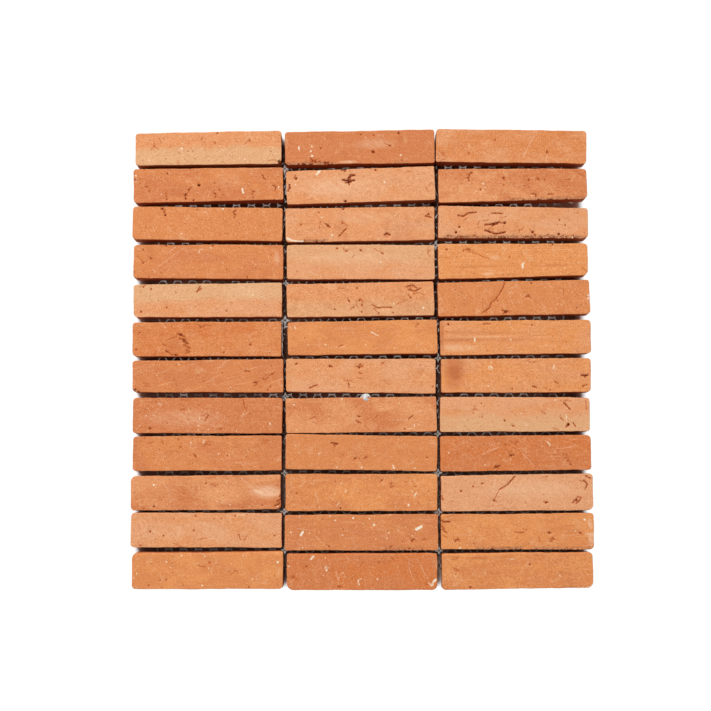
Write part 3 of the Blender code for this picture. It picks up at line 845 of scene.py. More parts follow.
# What the moulding, the drying and the handling left on each slip, measured from its upper left corner.
# A spot is (along, down, reach) and a line is (reach, point, point and so on), each without its reach where
# that is the usual one. A smear or a stain is (along, down, its two reaches, strength), and a crumbly edge is
# (from, to, strength). The radii of the corners run from the upper left one to the lower right one.
# shade_in_hollows is how dark the painted shade in the pits and cracks is, and shoulder is how much rounder
# the upper edge is.
MARKS = {
    (1, 1): dict(
        shade_in_hollows=0.45,
        pits=((12.5, 9), (44.3, 5), (54.5, 1.2, 0.5), (53, 7.6, 0.5), (76, 6.6, 0.5), (9.5, 5.2, 0.3)),
        flecks=((30.9, 11, 0.8), (31.5, 7.6, 0.5), (40, 16.5), (73, 19, 0.6), (9, 18.7, 0.6), (38.7, 8.2),
            (56, 9.5)),
        cracks=(((15.3, 3.7), (18, 7)), ((12.5, 5.5), (12.5, 9), (10.3, 11.5)), ((12.5, 9), (15.5, 11.8)),
            ((28, 19.2), (28.6, 21.5)), ((88, 20.4), (92, 19.8), (96, 21.2)),
            ((73, 8.4), (75.5, 5.4), (77.4, 6.6))), chips=((96.2, 21.6, 2),), corners=(2.2, 1.8, 2.2, 3)),
    (1, 2): dict(
        pits=((58.6, 14.7, 0.9), (70, 10.7, 0.6), (24, 11.5, 0.5), (50.6, 2.6, 0.5), (59.3, 3.2, 0.5),
            (76, 2.2, 0.7), (26.7, 21.4, 0.7), (28.6, 21.9, 0.6), (23, 20.6, 0.5), (78, 20.5, 0.5)),
        flecks=((9.3, 11.3, 0.7), (17.8, 10.3, 0.6), (17.2, 13.4, 0.7), (18, 16.6, 0.8), (77, 17, 0.6),
            (54, 4.7), (65.6, 4), (33.5, 15.3)), streaks=((0.35, (9.2, 10), (9.5, 13)),),
        cracks=((0.4, (17, 18.6), (20.6, 21.2)), (0.35, (17.6, 18.8), (18.2, 22)),
            (0.35, (17.4, 20.8), (20.2, 19.6)), ((66, 8), (69.5, 10.5)), ((57.4, 13.8), (60, 15.4))),
        smears=((42, 21.2, 7, 1.1, 0.9), (60, 9, 16, 4, 0.35)), crumbly=((0, 32, 1), (74, 80, 0.5)),
        corners=(2.2, 1.6, 2.4, 1.2)),
    (1, 3): dict(
        pits=((74.2, 14.8, 0.6), (22, 16.5), (39.6, 7.5, 0.3)),
        cracks=(((2, 15), (6, 17.3)), ((1.5, 20.3), (7, 21.3)), ((4, 17.5), (7, 19.6)), ((1, 17), (3, 18.6)),
            ((36.4, 6.8), (38.8, 7.2), (40, 6.4)), ((73.4, 15.8), (74.2, 13.4), (75, 15.6))),
        streaks=((0.15, (74, 16.2), (73.8, 19.5)),), scrapes=((0.35, (65.2, 4), (61.4, 11.4), (57.9, 19.2)),),
        corners=(2, 2.2, 1.2, 2.4)),
    (2, 1): dict(
        pits=((43.7, 11.4, 0.9), (37, 14.4, 0.6), (34.7, 17.8, 0.8), (34.6, 20.2, 0.6), (40, 21.6, 0.5),
            (21.8, 16.4), (21.8, 18.5), (22, 20.5), (8.7, 12), (10.7, 14.7), (26.7, 14.7, 0.3),
            (54, 17.4, 0.5), (54.5, 19.5), (54, 10.4), (79, 18, 0.5), (79.6, 20.3), (80, 16.3),
            (22.6, 3, 0.5), (57, 15)),
        flecks=((76.5, 11), (59.4, 5.2), (78.5, 4), (24, 2.2), (96.4, 13.6, 0.6), (1.6, 4.2, 0.6),
            (2.2, 6.4, 0.5), (1, 8.2)), streaks=((0.6, (72.4, 14.6), (73, 17.2)),),
        cracks=((0.3, (93, 12.2), (94.8, 13.6), (94, 16)), (0.35, (85.8, 5), (86.6, 7.2), (88, 8)),
            ((52, 16), (55, 18.2)), ((33, 17.2), (36.4, 18.6)), ((38.6, 12.4), (36, 16.4)),
            ((78, 15), (80.6, 17.4))), chips=((0.8, 7.7),), stains=((29, 14, 9, 6, 0.25),),
        smears=((64, 9, 9, 6, 0.2),)),
    (2, 2): dict(
        pits=((39.3, 0.5, 0.9), (37.2, 0.2, 0.6), (39, 22, 0.8), (41.5, 9.4, 0.7), (42, 10.8),
            (6.7, 5.2, 0.7), (1.7, 12, 0.5), (59.7, 1.4, 0.6), (1.2, 13.4, 0.5), (6, 3.5, 0.5)),
        flecks=((21.7, 1.2, 1), (20.4, 3, 0.7), (22.8, 0.6, 0.7), (65.4, 9.7, 0.7), (69.6, 12.5),
            (6, 9.5, 0.4)),
        cracks=((0.6, (37.8, 7.2), (41, 8), (45.2, 7.9)), (0.55, (41.6, 6), (43.2, 4.1), (45.6, 4.4)),
            (0.5, (39.6, 9.2), (43, 8.6)), (0.3, (43.6, 5), (41, 8), (42.2, 10.6)), ((95.3, 12.8), (97, 11)),
            (0.35, (2, 9), (2.4, 12)), ((80, 3), (83.4, 3.2)), ((93, 14.6), (94.6, 17)),
            ((5, 4.6), (8.2, 5.6))), chips=((39.3, 0.2, 1.6), (37, 0, 1), (39, 22.4)),
        smears=((30, 12, 26, 7, 0.5),), scrapes=(((13, 19), (24, 10.4)), ((58, 8), (66, 14.6))),
        corners=(1.8, 1, 1.4, 1)),
    (2, 3): dict(
        pits=((22, 2.4, 0.6), (20.5, 4, 0.5), (20, 6, 0.5), (20.3, 7.5), (43.7, 5.8, 0.5), (43.7, 7),
            (43.6, 11), (60.4, 7.8, 0.6), (66.6, 7.2, 0.5), (71, 7.8), (87.4, 7.8), (28, 13.8, 0.5)),
        flecks=((29.8, 10, 0.6), (31, 12.4), (25, 15), (52.7, 11.5), (61.9, 18.4)),
        cracks=((0.3, (73, 17.6), (76.2, 17.8)), (0.3, (62, 17.6), (63.4, 17), (65, 17.8), (64.6, 19.4)),
            ((19.4, 3), (22.6, 2.2)), ((19, 5.8), (21.4, 5.4)), ((42.4, 6.2), (45, 5.8)),
            ((64.8, 6.6), (67.4, 7.4)), ((89.4, 1), (93, 3.4), (97, 5.8)), ((84, 7.6), (87, 8))),
        scrapes=(((30, 13), (27.6, 17.4)),), chips=((50, 21, 1),), crumbly=((46, 97, 0.6),),
        corners=(1, 2.2, 1, 3)),
    (3, 1): dict(
        pits=((19.5, 1.5, 0.7), (21, 3.4, 0.6), (21.7, 5.8, 0.7), (9, 14.2, 0.3), (43, 1.8)),
        flecks=((77.7, 3.4), (32.8, 18.2), (60, 0.9, 0.7), (11, 20.5)),
        cracks=((0.3, (68.5, 1.8), (66.8, 3.2), (68.3, 5), (67.3, 7)), ((61.3, 17.6), (64, 18)),
            ((66.6, 2.6), (69.4, 2.2)), ((18, 1), (22, 2)))),
    (3, 2): dict(
        pits=((38.4, 0.4, 0.8), (28.3, 12, 0.7), (29.4, 12.8, 0.5), (37.8, 10.5), (36, 18.8),
            (10.4, 11.2, 0.5), (22.4, 3)),
        flecks=((24.3, 6.2, 0.6), (72.6, 5.9, 0.5), (31, 18.4, 0.7), (41.7, 16.8)),
        cracks=(((38.3, 15.2), (40.2, 14)), ((35.3, 19.6), (36.6, 18)), (0.4, (93, 6.4), (97.2, 7.4)),
            (0.35, (93.4, 6.4), (95.6, 4.8)), (0.4, (65.6, 18.8), (67.5, 17.6), (69.6, 18.8)),
            (0.3, (26.8, 10.6), (29.6, 13)), (0.3, (36.2, 18.8), (40.4, 14)), ((23.4, 9), (22.6, 14)),
            ((37, 9), (41, 12))), craters=((67.5, 19.4),), chips=((38.4, 0),),
        streaks=((0.8, (1.2, 20.4), (3.6, 21.6)), (0.6, (3.6, 21.6), (6.6, 22.1), (11.6, 22.2))),
        smears=((50, 7, 22, 5, 0.3),), stains=((78, 15, 9, 5, 0.2),), crumbly=((10, 26, 0.9),),
        corners=(1.6, 1, 2.6, 1)),
    (3, 3): dict(
        pits=((44.2, 10.9, 0.8), (14, 13.9, 0.7), (11.8, 17.6, 0.8), (14.5, 20.8, 0.5), (53.9, 16),
            (80.5, 8.6), (84.2, 12.1, 0.5), (80, 18.2, 0.8), (62.6, 17, 0.9), (64.3, 18.9, 0.6),
            (24, 19.6, 0.5), (73, 18.6, 0.5)),
        flecks=((56, 20.4), (72, 20.6), (80, 20.6), (89, 20.4, 0.6), (48, 6), (15.4, 0.8)),
        cracks=((0.4, (13.3, 6), (16.6, 6.7), (19.8, 4.5), (25.1, 3.8)), (0.5, (31.2, 15.9), (38, 18.4)),
            (0.5, (38.6, 18.3), (44.5, 17.2)), (0.45, (30.8, 12.4), (35, 11.8), (40.7, 10.4)),
            (0.5, (36, 12.6), (39, 11.6)), (0.3, (35.4, 4.4), (42.6, 4.6)), ((17, 9), (19, 8.2)),
            (0.3, (39.4, 10.8), (44.2, 11)), ((30, 9.6), (33.4, 9)), ((41, 8), (45, 6.4)),
            ((27.4, 10), (26, 12.6)), ((33.6, 14.4), (36.8, 15.2)), ((57, 13.6), (54, 16.4)),
            ((60.6, 15), (62, 17.6))), crumbly=((4, 97, 1),), smears=((84, 21.4, 12, 1.2, 0.6),),
        corners=(1, 2, 1, 3)),
    (4, 1): dict(
        pits=((6.3, 3.7), (11.6, 9.3, 0.5), (6.5, 12.4, 0.5), (81.2, 15.5, 0.3), (75.6, 21.6),
            (61.7, 16.4, 0.3), (21.5, 0.7, 0.5), (52.5, 0.7, 0.5)),
        flecks=((45.7, 9), (59.4, 12.1), (79, 11.3), (81, 13), (51, 2), (14.2, 18.2, 0.4), (72, 15.6)),
        streaks=((0.3, (43.2, 5.6), (44, 3.4), (46, 3)),),
        cracks=(((10, 8), (13, 9.8)), ((5.4, 13), (7.4, 11.6)), ((2, 7), (6, 11))),
        scrapes=(((33.2, 2), (25, 8.4), (16.5, 15)), (0.25, (27.7, 1.5), (22.6, 6)),
            (0.15, (12.6, 16.1), (14.8, 19)), (0.15, (88, 4), (90.6, 12))), smears=((95, 9, 2.2, 5.5, 0.5),),
        chips=((21.5, 0, 0.9), (52.5, 0, 0.8))),
    (4, 2): dict(
        pits=((49.3, 3.7, 0.6), (63.6, 5.7, 0.5), (40, 4, 0.5), (33.5, 2.3, 0.5)),
        flecks=((54.2, 2.6), (62.2, 11.5, 0.6), (22.6, 21)),
        cracks=(((48, 3), (50.6, 4.6)), ((93.8, 2.3), (93.4, 4), (94.8, 8)), ((96, 3), (93, 5.4)),
            ((61.6, 4), (64.4, 6.4)), ((58.4, 2.6), (60.4, 4.2)), ((45, 6.6), (43.4, 8.6)),
            ((37.4, 2.2), (39, 4.6))), smears=((45, 9, 36, 5, 0.35),), scrapes=(((12, 17.6), (20, 20)),)),
    (4, 3): dict(
        pits=((5.6, 3.4, 0.5), (16.8, 4.6), (20.1, 2.9), (76, 1, 0.5), (47.2, 9, 0.3)),
        flecks=((32.7, 6.7), (2.6, 14.7), (57, 12.6, 0.4), (83.4, 17.2, 0.4)),
        cracks=(((19.6, 4.6), (25, 6), (29.4, 8.3), (34, 10)), ((95, 16.6), (98, 19.6)),
            (0.25, (17, 3.4), (21.4, 3.4))), streaks=((0.7, (55.9, 13.4), (55.8, 16.2)),),
        smears=((38, 9.2, 3, 2, 0.8), (33, 20, 4.2, 1.2, 0.8)), scrapes=((0.15, (36.8, 7.4), (37.6, 10.6)),),
        stains=((76, 15, 13, 1, 0.4), (30, 15, 26, 0.8, 0.3)), corners=(1, 2.4, 1.2, 3.6)),
    (5, 1): dict(
        pits=((6.5, 1.8), (11.6, 3.4, 0.5), (5, 18.6, 0.5), (22, 15.9), (61.4, 18.4)),
        flecks=((15.5, 16.8, 0.5), (76.4, 5.6, 0.4), (79, 7.8, 0.4), (60, 5), (72, 2.6), (85, 9)),
        cracks=((0.35, (44, 1.8), (42, 5.6)), (0.25, (43.4, 4.4), (45, 3.4)), ((4, 2), (8, 0.8))),
        smears=((74, 5, 14, 6, 0.3),), corners=(2, 0.9, 3, 0.9)),
    (5, 2): dict(
        pits=((46.7, 3.4), (41, 11.8, 0.5), (48, 11.6, 0.5), (49.7, 15, 0.5), (49.3, 19.6), (43.8, 16.5),
            (31.5, 17.4), (82, 4), (60.6, 20.8), (70, 20.5)),
        flecks=((90.2, 17.6, 0.8), (83.2, 20.3, 0.4), (32.7, 5.8), (70.6, 14.4, 0.6), (86.6, 6.2, 0.4),
            (20.4, 15)),
        cracks=(((34, 3.4), (38.5, 3.6)), (0.3, (56.2, 14.8), (60.6, 17.2), (64.2, 16.6), (69.4, 17)),
            ((72.4, 14.8), (76.9, 12.9), (79.2, 11.8)), (0.25, (80.3, 8.4), (82, 10.7)),
            (0.3, (79, 3.4), (83, 2), (86, 4)), (0.3, (80.6, 5.2), (85, 6.4), (88.6, 4.2)),
            ((83.6, 8), (88, 7.4), (91, 9)), ((48.6, 10), (50, 13), (48.8, 16)), ((45.6, 12), (47, 17.4)),
            ((57.6, 17.4), (60, 20)), ((40, 9.6), (41.6, 13)), ((42, 17.6), (44.6, 15))),
        stains=((84, 17, 12, 4, 0.15),)),
    (5, 3): dict(
        pits=((44.7, 20.8, 0.8), (62, 1.6, 0.5), (59.7, 10.3), (91.7, 18.8), (11.9, 5, 0.3)),
        flecks=((79, 15.9, 0.4), (96.3, 13.8, 0.4), (15.8, 3.1), (99.4, 10.6, 0.8), (99.4, 12.8, 0.6)),
        cracks=((0.28, (44.4, 1.2), (43.4, 4.5), (41, 8), (38.6, 11.7), (35.4, 14.2), (33.6, 18), (29.4, 21)),
            (0.3, (42.4, 19.4), (47, 20.8)), (0.3, (43, 21.6), (46, 19.6)),
            (0.25, (58, 10.8), (60.4, 9.4), (61.2, 11.4)), ((37.6, 12.6), (40.4, 13.2)),
            ((30, 19.6), (32.4, 21)), ((80.4, 5.4), (83.4, 6.4), (83, 9))),
        streaks=((0.15, (80.8, 6.5), (82.2, 7.4)),), chips=((99, 12, 1),), corners=(1, 2.2, 1, 2.4)),
    (6, 1): dict(
        pits=((32, 8.6, 0.7), (22.8, 19.8, 0.6), (28.7, 22, 0.6), (34.2, 12, 0.5), (36, 14.2, 0.5),
            (37, 20.4), (60.4, 20.6), (5, 7), (2.6, 18.4, 0.5), (78.2, 15.4, 0.6)),
        cracks=((0.2, (44.5, 4), (48, 2.2), (52, 2.6)), (0.15, (43, 2), (47, 3.6)),
            (0.4, (29.8, 8), (34.4, 9.6)), (0.35, (31, 11.2), (35.5, 12.2)), (0.4, (33.4, 13), (37, 14.6)),
            (0.3, (34, 15.6), (38, 17.4)), (0.25, (22, 19.2), (25, 21)), (0.25, (26, 21.8), (30, 22.2)),
            (0.15, (24, 11.6), (29, 10)), (0.15, (35, 18.4), (38.4, 20)), (0.15, (20, 14.6), (22.6, 16)),
            (0.15, (35.4, 21), (36.6, 18.4)), ((76.8, 15.2), (78, 14.4))), stains=((26.4, 15, 7, 5, 0.35),),
        corners=(2.2, 0.9, 2.8, 0.9)),
    (6, 2): dict(
        pits=((35.4, 16.2), (86.5, 2.7)),
        flecks=((25, 15.4, 0.6), (13.4, 15.4, 0.4), (51.4, 15.8), (70.6, 18.6)),
        cracks=(((33.6, 16.8), (37, 15.8)), ((86, 1.6), (84.4, 4.4))),
        streaks=((0.45, (55.4, 7.6), (59.4, 9.8)), (0.25, (1.6, 3.2), (2.4, 5)),
            (0.25, (4.4, 3), (5.6, 4.6)))),
    (6, 3): dict(
        pits=((5.4, 2.2, 0.6), (29.2, 2.3), (60.6, 3.3)), flecks=((46.3, 12.7, 0.5), (45.7, 20.3, 0.4)),
        cracks=((0.25, (28.4, 2.2), (33, 2)),),
        streaks=((0.6, (22.6, 11.8), (22.8, 13.8)), (0.15, (45.8, 10.4), (46, 12.6))),
        stains=((10, 12.8, 28, 1.6, 0.4), (34, 8.2, 26, 1, 0.3), (12, 7.4, 14, 0.7, 0.3),
            (44, 12.6, 18, 1.4, 0.25), (1.2, 10, 1.4, 12, 0.6)),
        smears=((30, 10.6, 26, 0.7, 0.4), (12, 18, 16, 2.6, 0.5))),
    (7, 1): dict(
        pits=((81.2, 15.1, 0.5), (85.7, 12.7), (92, 9.8), (90.6, 18, 0.5), (91.2, 4.4), (88.8, 20.2),
            (43, 10, 0.3)), flecks=((30.5, 3, 0.5), (64.4, 18.2, 0.5), (16, 10), (88, 0.9)),
        cracks=((0.3, (73.8, 7.4), (77, 7.8)), ((7, 15), (11, 15.6)), ((8, 17), (12, 17.6)),
            (0.25, (79.4, 15.2), (82.4, 14.8)), (0.2, (90, 10.6), (93.4, 8.8)),
            (0.2, (86.6, 13.8), (89.4, 12)), (0.2, (82, 16.4), (80, 17.6))),
        scrapes=(((50, 14), (58, 9.4)), ((47, 15.6), (56, 10.6))), chips=((1.5, 20.6, 1.8), (4, 21.4)),
        corners=(2, 0.9, 2.4, 0.9)),
    (7, 2): dict(
        pits=((28.7, 5, 0.7), (29.9, 5.2, 0.5), (6.8, 3.7, 0.5), (48.8, 3.7, 0.5), (48, 6, 0.5), (41.3, 16.8),
            (63.7, 2.7, 0.5), (96.8, 18.2), (48.8, 9.7), (50.4, 4.6)),
        flecks=((81.8, 14.4, 0.5), (21.5, 9), (18, 15)),
        cracks=((0.3, (15.6, 19.6), (20.6, 17.4)), (0.25, (46.4, 5), (50.4, 5.4)), ((47.6, 9), (50.2, 10)),
            ((46.8, 12.6), (49.4, 13.2)), ((38.4, 14.6), (43.6, 14.8)), ((41, 15.6), (41.6, 19.6)),
            ((5.6, 4.6), (7.8, 2.8)), ((65, 1.6), (62, 4.6)))),
    (7, 3): dict(
        pits=((94.2, 11.5, 0.6), (75.5, 16), (61.5, 18.9), (71.7, 21), (46.7, 20.1), (93.5, 18.5)),
        flecks=((31.2, 18.1, 0.5), (33.1, 2.5, 0.5), (80.6, 13.4)),
        cracks=(((56, 1.6), (60, 2.6), (64, 1.7)), ((58, 1), (58.6, 3)), (0.4, (92.4, 11.2), (96.6, 11.4)),
            (0.3, (94.4, 12.6), (96.6, 10.6)), (0.2, (74.4, 15.2), (76.8, 16.6)),
            (0.25, (60, 18.2), (62.8, 19.6)), (0.2, (92.6, 18.8), (96, 17.6)), ((68, 19.4), (69.6, 20.4))),
        streaks=((0.25, (30.8, 6.4), (31.6, 4.9), (33.4, 5), (34, 6.6), (32.4, 7.4), (30.8, 6.4)),
            (0.45, (32.6, 5), (33.6, 5.8)), ((74.6, 4.6), (73.8, 6.8))),
        stains=((8.8, 9, 7, 9, 0.75), (8.4, 14, 6, 8, 0.4), (9, 3, 8, 5, 0.5)), corners=(1, 2, 1, 2.8)),
    (8, 1): dict(
        shade_in_hollows=0.7,
        pits=((11.5, 20.4, 0.7), (33.5, 7.7), (47.7, 15), (49.7, 11.7), (22.6, 16.7, 0.3), (57.9, 20.5),
            (48.6, 13.2)),
        flecks=((50, 8.2), (44, 13.7, 0.5), (43.4, 18.4, 0.5), (43, 21.4), (72.6, 10.4, 0.5), (90.2, 17, 0.6),
            (10, 22), (5, 18.4), (13.7, 11.7), (68.4, 22), (49.7, 20.8, 0.5), (12.4, 14)),
        cracks=((0.2, (72.6, 1.3), (73, 4), (73.4, 6.6)), ((31, 1.6), (35.6, 1.4)), ((30.6, 8), (35.4, 8.2)),
            ((45, 12), (49, 10)), ((56, 20.8), (59, 20))),
        streaks=((0.2, (16.4, 4.2), (17.6, 3.5), (19, 4.4), (17.6, 5), (16.4, 4.2)),),
        smears=((34, 13.5, 28, 6.5, 0.32), (40, 15, 14, 5, 0.38)), corners=(2.4, 1.2, 2, 1)),
    (8, 2): dict(
        pits=((48, 12.7, 0.5), (47.7, 16.5, 0.5), (46.5, 6), (78, 21.4)),
        flecks=((5.3, 4, 0.5), (37, 0.9, 0.5), (74.6, 4, 0.5), (7.2, 20.8, 0.5), (62, 6), (88, 9.4)),
        cracks=((0.3, (80.6, 14.6), (83.4, 12.6)), ((16, 14), (18.5, 12.3), (21, 13.5)),
            ((17, 15.6), (20, 17)), (0.2, (46.8, 12), (49.4, 12.6)), (0.2, (46, 15.4), (49, 17)),
            ((57, 15), (60.4, 12)), ((52, 18.4), (54, 21))),
        streaks=((0.2, (79, 21.2), (82.5, 21)), (0.3, (84.4, 18.6), (84.2, 20.4)))),
    (8, 3): dict(
        pits=((84.2, 18.2, 0.9), (83, 19.4, 0.5), (42.4, 15.5, 0.5), (47.9, 19, 0.5), (27, 4, 0.3)),
        flecks=((53.3, 10.8, 0.4), (35, 11.7), (56.4, 18.6, 0.4), (75.6, 1.9, 0.5)),
        cracks=((0.4, (81.4, 3.8), (83.2, 5.4), (85.2, 8)), ((82, 2), (86, 2.6)),
            ((20, 9), (22.6, 7.6), (25, 8.8)), ((22.6, 7.6), (21.6, 11)), (0.25, (79, 13.6), (80.6, 15.2)),
            ((66.8, 10), (69.4, 11)), ((28, 11.4), (27.6, 13.6)), ((46.6, 18.4), (49, 19.6)),
            ((74, 20.4), (78, 21.8)), (0.25, (87.6, 17), (88.6, 19.4)), ((95.6, 2), (96.4, 8))),
        streaks=((0.45, (83, 11.6), (83.1, 13.8)),), corners=(1, 2, 1.2, 2)),
    (9, 1): dict(
        shade_in_hollows=0.75, pits=((31.4, 7), (40.7, 13.2, 0.5), (29.8, 2.3), (62, 13, 0.3)),
        flecks=((38, 4.3, 0.5), (56.2, 12, 0.5), (79.6, 10)), streaks=((0.5, (46.6, 3), (46.2, 4.6)),),
        cracks=(((27.6, 9.6), (30.6, 11.4)), ((31, 6.4), (30, 9)), ((46.4, 7), (49.4, 3.6), (52, 4.2)),
            ((47, 5.2), (50.6, 5.8)), (0.2, (39.8, 12), (41.6, 14.2)), ((84.6, 5), (87, 2.4), (89, 2.8)),
            ((86.4, 5.6), (88, 3.4)), ((10, 4.6), (14, 4)), ((18.4, 2), (20, 5.4))),
        corners=(2.2, 1, 2.2, 1)),
    (9, 2): dict(
        pits=((45.7, 15.5, 0.5), (52.5, 14.6), (92.7, 14.2)),
        flecks=((22, 12.6, 0.5), (6.7, 7.5), (50, 21.2, 0.6), (33.9, 21.4, 0.5), (84.8, 21.2, 0.6),
            (57.5, 21), (89.8, 4.2)),
        cracks=((0.4, (29.6, 5.3), (34, 5.8)), (0.3, (31.4, 6.2), (32.6, 7.6)), ((44.4, 16.6), (47, 14.8)),
            ((51, 15.4), (54, 14)), ((37, 14), (38.4, 12.8))), streaks=((0.6, (70.6, 19.6), (71.2, 21.6)),)),
    (9, 3): dict(
        pits=((46.4, 13.2, 0.6), (47.6, 13), (37.4, 20.4, 0.6), (42.8, 6), (50, 4.4), (18.9, 9.4, 0.3),
            (81, 12.7, 0.3), (82.2, 15, 0.3), (83.6, 17.2), (85.2, 19.6)),
        flecks=((66.7, 7.4, 0.4), (5.7, 11, 0.5), (29, 19, 0.4), (38.2, 5.2, 0.4), (45.9, 15.7, 0.4),
            (95.4, 18.2, 0.4)),
        cracks=((0.4, (35.4, 21.4), (39, 19.8)), (0.3, (36, 20), (38, 22)), (0.25, (45, 13.6), (48.6, 12.6)),
            ((43, 7), (46, 5.2)), ((45.5, 3.4), (50, 6)), ((42.5, 9), (45.5, 12.2)), ((49.6, 3.4), (52, 4.6)),
            ((47.4, 8), (50, 9)), ((82.6, 12), (86.4, 20.6))), streaks=(((70.4, 4.4), (72.2, 6.8)),),
        scrapes=((0.25, (76, 8.8), (82, 8.6), (88, 7.2)), (0.35, (28, 12), (33, 9.6), (38, 7.8)),
            ((54, 12), (60, 18.6)))),
    (10, 1): dict(
        pits=((86, 20), (15.4, 20.2, 0.7), (49.4, 5.2), (8.6, 21.6)),
        flecks=((56.3, 17.3, 0.4), (65, 19.6, 0.4), (69.6, 14, 0.4), (15.2, 6, 0.8), (96, 20.8, 0.5),
            (97, 22.6, 0.4), (26, 17)),
        cracks=((0.35, (98.8, 12.8), (97.4, 14.4)), (0.4, (98.6, 16.2), (95.6, 17.8)),
            (0.4, (97.6, 18.6), (94.6, 20.4)), (0.35, (99, 21), (96, 22.6)), ((52.6, 5.6), (55.4, 7)),
            ((92.6, 21), (95, 19.4))),
        scrapes=((1.3, (81.4, 10.6), (88, 10.8)), (1.1, (86, 12.8), (96, 13.2)),
            (0.3, (72.3, 2.1), (76, 5), (80, 8.4)), ((21, 4), (26, 12))), smears=((88, 11.2, 11, 4.8, 0.9),),
        stains=((54, 6.4, 3.4, 2.2, 0.4), (68, 20, 14, 2, 0.3)), chips=((99, 22.4, 1.6),),
        corners=(3.6, 0.9, 2.6, 2.2)),
    (10, 2): dict(
        pits=((36, 22.4, 0.5), (7.3, 12.7, 0.5), (69.6, 5.9), (69.3, 8.7), (63, 4.3)),
        flecks=((80.4, 20.4, 0.8), (83, 11.4, 0.5), (36.3, 6.3), (52, 2), (84.5, 4)),
        cracks=(((67.6, 6.4), (70.4, 8.6)), ((68.4, 9), (71.4, 7.6)), ((84, 8), (86, 8.4)),
            ((62, 5), (64, 3.6))),
        streaks=(((39.6, 10.4), (39.4, 12)), (0.25, (33.4, 21), (35.2, 18.8)),
            (0.45, (84.2, 14.8), (85.8, 12)))),
    (10, 3): dict(
        pits=((13.2, 10.4, 0.6), (34.7, 17, 0.6), (68.4, 18.8, 0.5), (88.4, 17.4, 0.6), (27, 5.6), (21, 7.4)),
        cracks=((0.3, (38.3, 9.6), (41.5, 7.8), (43.8, 6.2), (46, 3.8), (48.6, 1.2)),
            ((34.6, 16.6), (36.4, 13), (38.3, 9.6)), ((34.2, 15.6), (36.2, 18)), (0.35, (95, 1.2), (97.4, 3)),
            (0.35, (93.6, 4.4), (95.6, 6.6)), (0.3, (95.4, 7.6), (94.2, 10.4)), (0.3, (86, 19), (88.8, 16)),
            (0.25, (88.4, 19.4), (91, 17)), (0.25, (89, 15), (91.6, 15.6)), (0.25, (67, 18), (69.8, 18.4)),
            ((26, 5.8), (28.6, 5.2)), ((66.4, 2), (70, 1.6)), (0.3, (0.4, 13), (1.2, 16)),
            ((90.6, 4), (93, 5.4))), scrapes=((0.4, (36, 2), (33.6, 12)), (0.3, (52, 6), (50, 11))),
        smears=((60, 10, 34, 7, 0.4),), corners=(1, 2.6, 1.2, 4)),
    (11, 1): dict(
        shade_in_hollows=0.8,
        pits=((42.2, 2.1, 0.5), (59, 3.8), (68.3, 2.1), (41.3, 11.6), (94, 14.8), (12.8, 12.4, 0.6),
            (21.6, 15.2), (6.6, 21.6, 0.5)),
        cracks=((0.2, (70.6, 14), (71.6, 17.6)), ((44, 17.6), (49, 16.4)), ((5, 21.8), (8, 21.2)),
            ((28, 20), (33, 22)), ((76, 15), (74, 18))),
        scrapes=(((6.6, 4), (9.8, 5.6), (10.6, 9), (9, 12), (6, 12.6)),
            ((3.4, 7), (5.4, 6), (7.4, 7.4), (7, 10))), streaks=((0.3, (69.4, 1.4), (74.4, 1.2)),),
        smears=((25, 12, 20, 6, 0.3), (52, 12, 14, 8, 0.3)), corners=(2.6, 0.9, 2.4, 0.9)),
    (11, 2): dict(
        pits=((81.2, 22.4, 0.5), (28.9, 21, 0.5), (69.2, 21.3, 0.5), (83, 17.4, 0.5), (84.4, 16.6, 0.5),
            (90.8, 16.6)),
        flecks=((3.9, 11.4, 0.5), (15.8, 12.1, 0.4), (32.9, 3.7, 0.6), (44.6, 2.2, 0.7), (9.8, 1.2, 0.4),
            (29.3, 1, 0.5), (11.7, 21.6, 0.5), (37.6, 13.5, 0.5), (58.1, 6.8, 0.9), (55.2, 2.9, 0.6),
            (73.8, 10.5, 0.4), (67.8, 12.1, 0.4), (66.7, 15.6, 0.5), (59.3, 16, 0.4), (83.2, 14.2, 0.4),
            (78.6, 8)), streaks=((0.85, (10.4, 13.4), (11.8, 11.2)), (1, (86, 9.8), (89, 8.2))),
        cracks=(((27.6, 20), (30, 22)), ((68, 22), (70.6, 20)), ((82, 16), (86, 17.4)),
            ((89, 17), (92.6, 16.4))), scrapes=(((8, 9), (20, 10.6)), ((20, 14), (26, 20))),
        crumbly=((66, 90, 0.5),)),
    (11, 3): dict(
        pits=((70.7, 12.6, 0.6), (91, 12.8, 0.6), (11, 16.8, 0.5), (9.4, 18.2), (73.3, 16.4, 0.5),
            (71.4, 18)), flecks=((93.6, 4, 0.8), (87.6, 11.4, 0.4), (12.2, 22.4, 0.7)),
        cracks=((0.4, (0.4, 4.4), (2.4, 5.4), (5.6, 5.2)), (0.25, (0.4, 8), (2, 9.4)),
            (0.25, (0.6, 10.2), (3.6, 12.2)), (0.25, (48.6, 12), (51, 12.6), (54, 12.4)),
            (0.2, (69.4, 12.4), (72.2, 12.8)), (0.2, (89.8, 12.2), (92.2, 13.2)), ((8, 17), (12.4, 16.6)),
            ((10.6, 15.4), (12.4, 18.4)), ((70, 16), (75, 17)), ((72.8, 15.4), (72.4, 18.6)),
            ((53.6, 10), (56, 10.4)), ((63.6, 15), (64.2, 18)), ((3.6, 2), (7, 1.4)), ((1, 14), (4, 15.4))),
        scrapes=((1.4, (97, 5), (97.6, 8.6)), (1.5, (97.4, 15.6), (98, 19.6)),
            (0.9, (94.6, 13.4), (99, 13.2))), crumbly=((24, 52, 0.9), (60, 97, 0.6)),
        corners=(1.4, 2.2, 1, 3)),
    (12, 1): dict(
        shade_in_hollows=0.7,
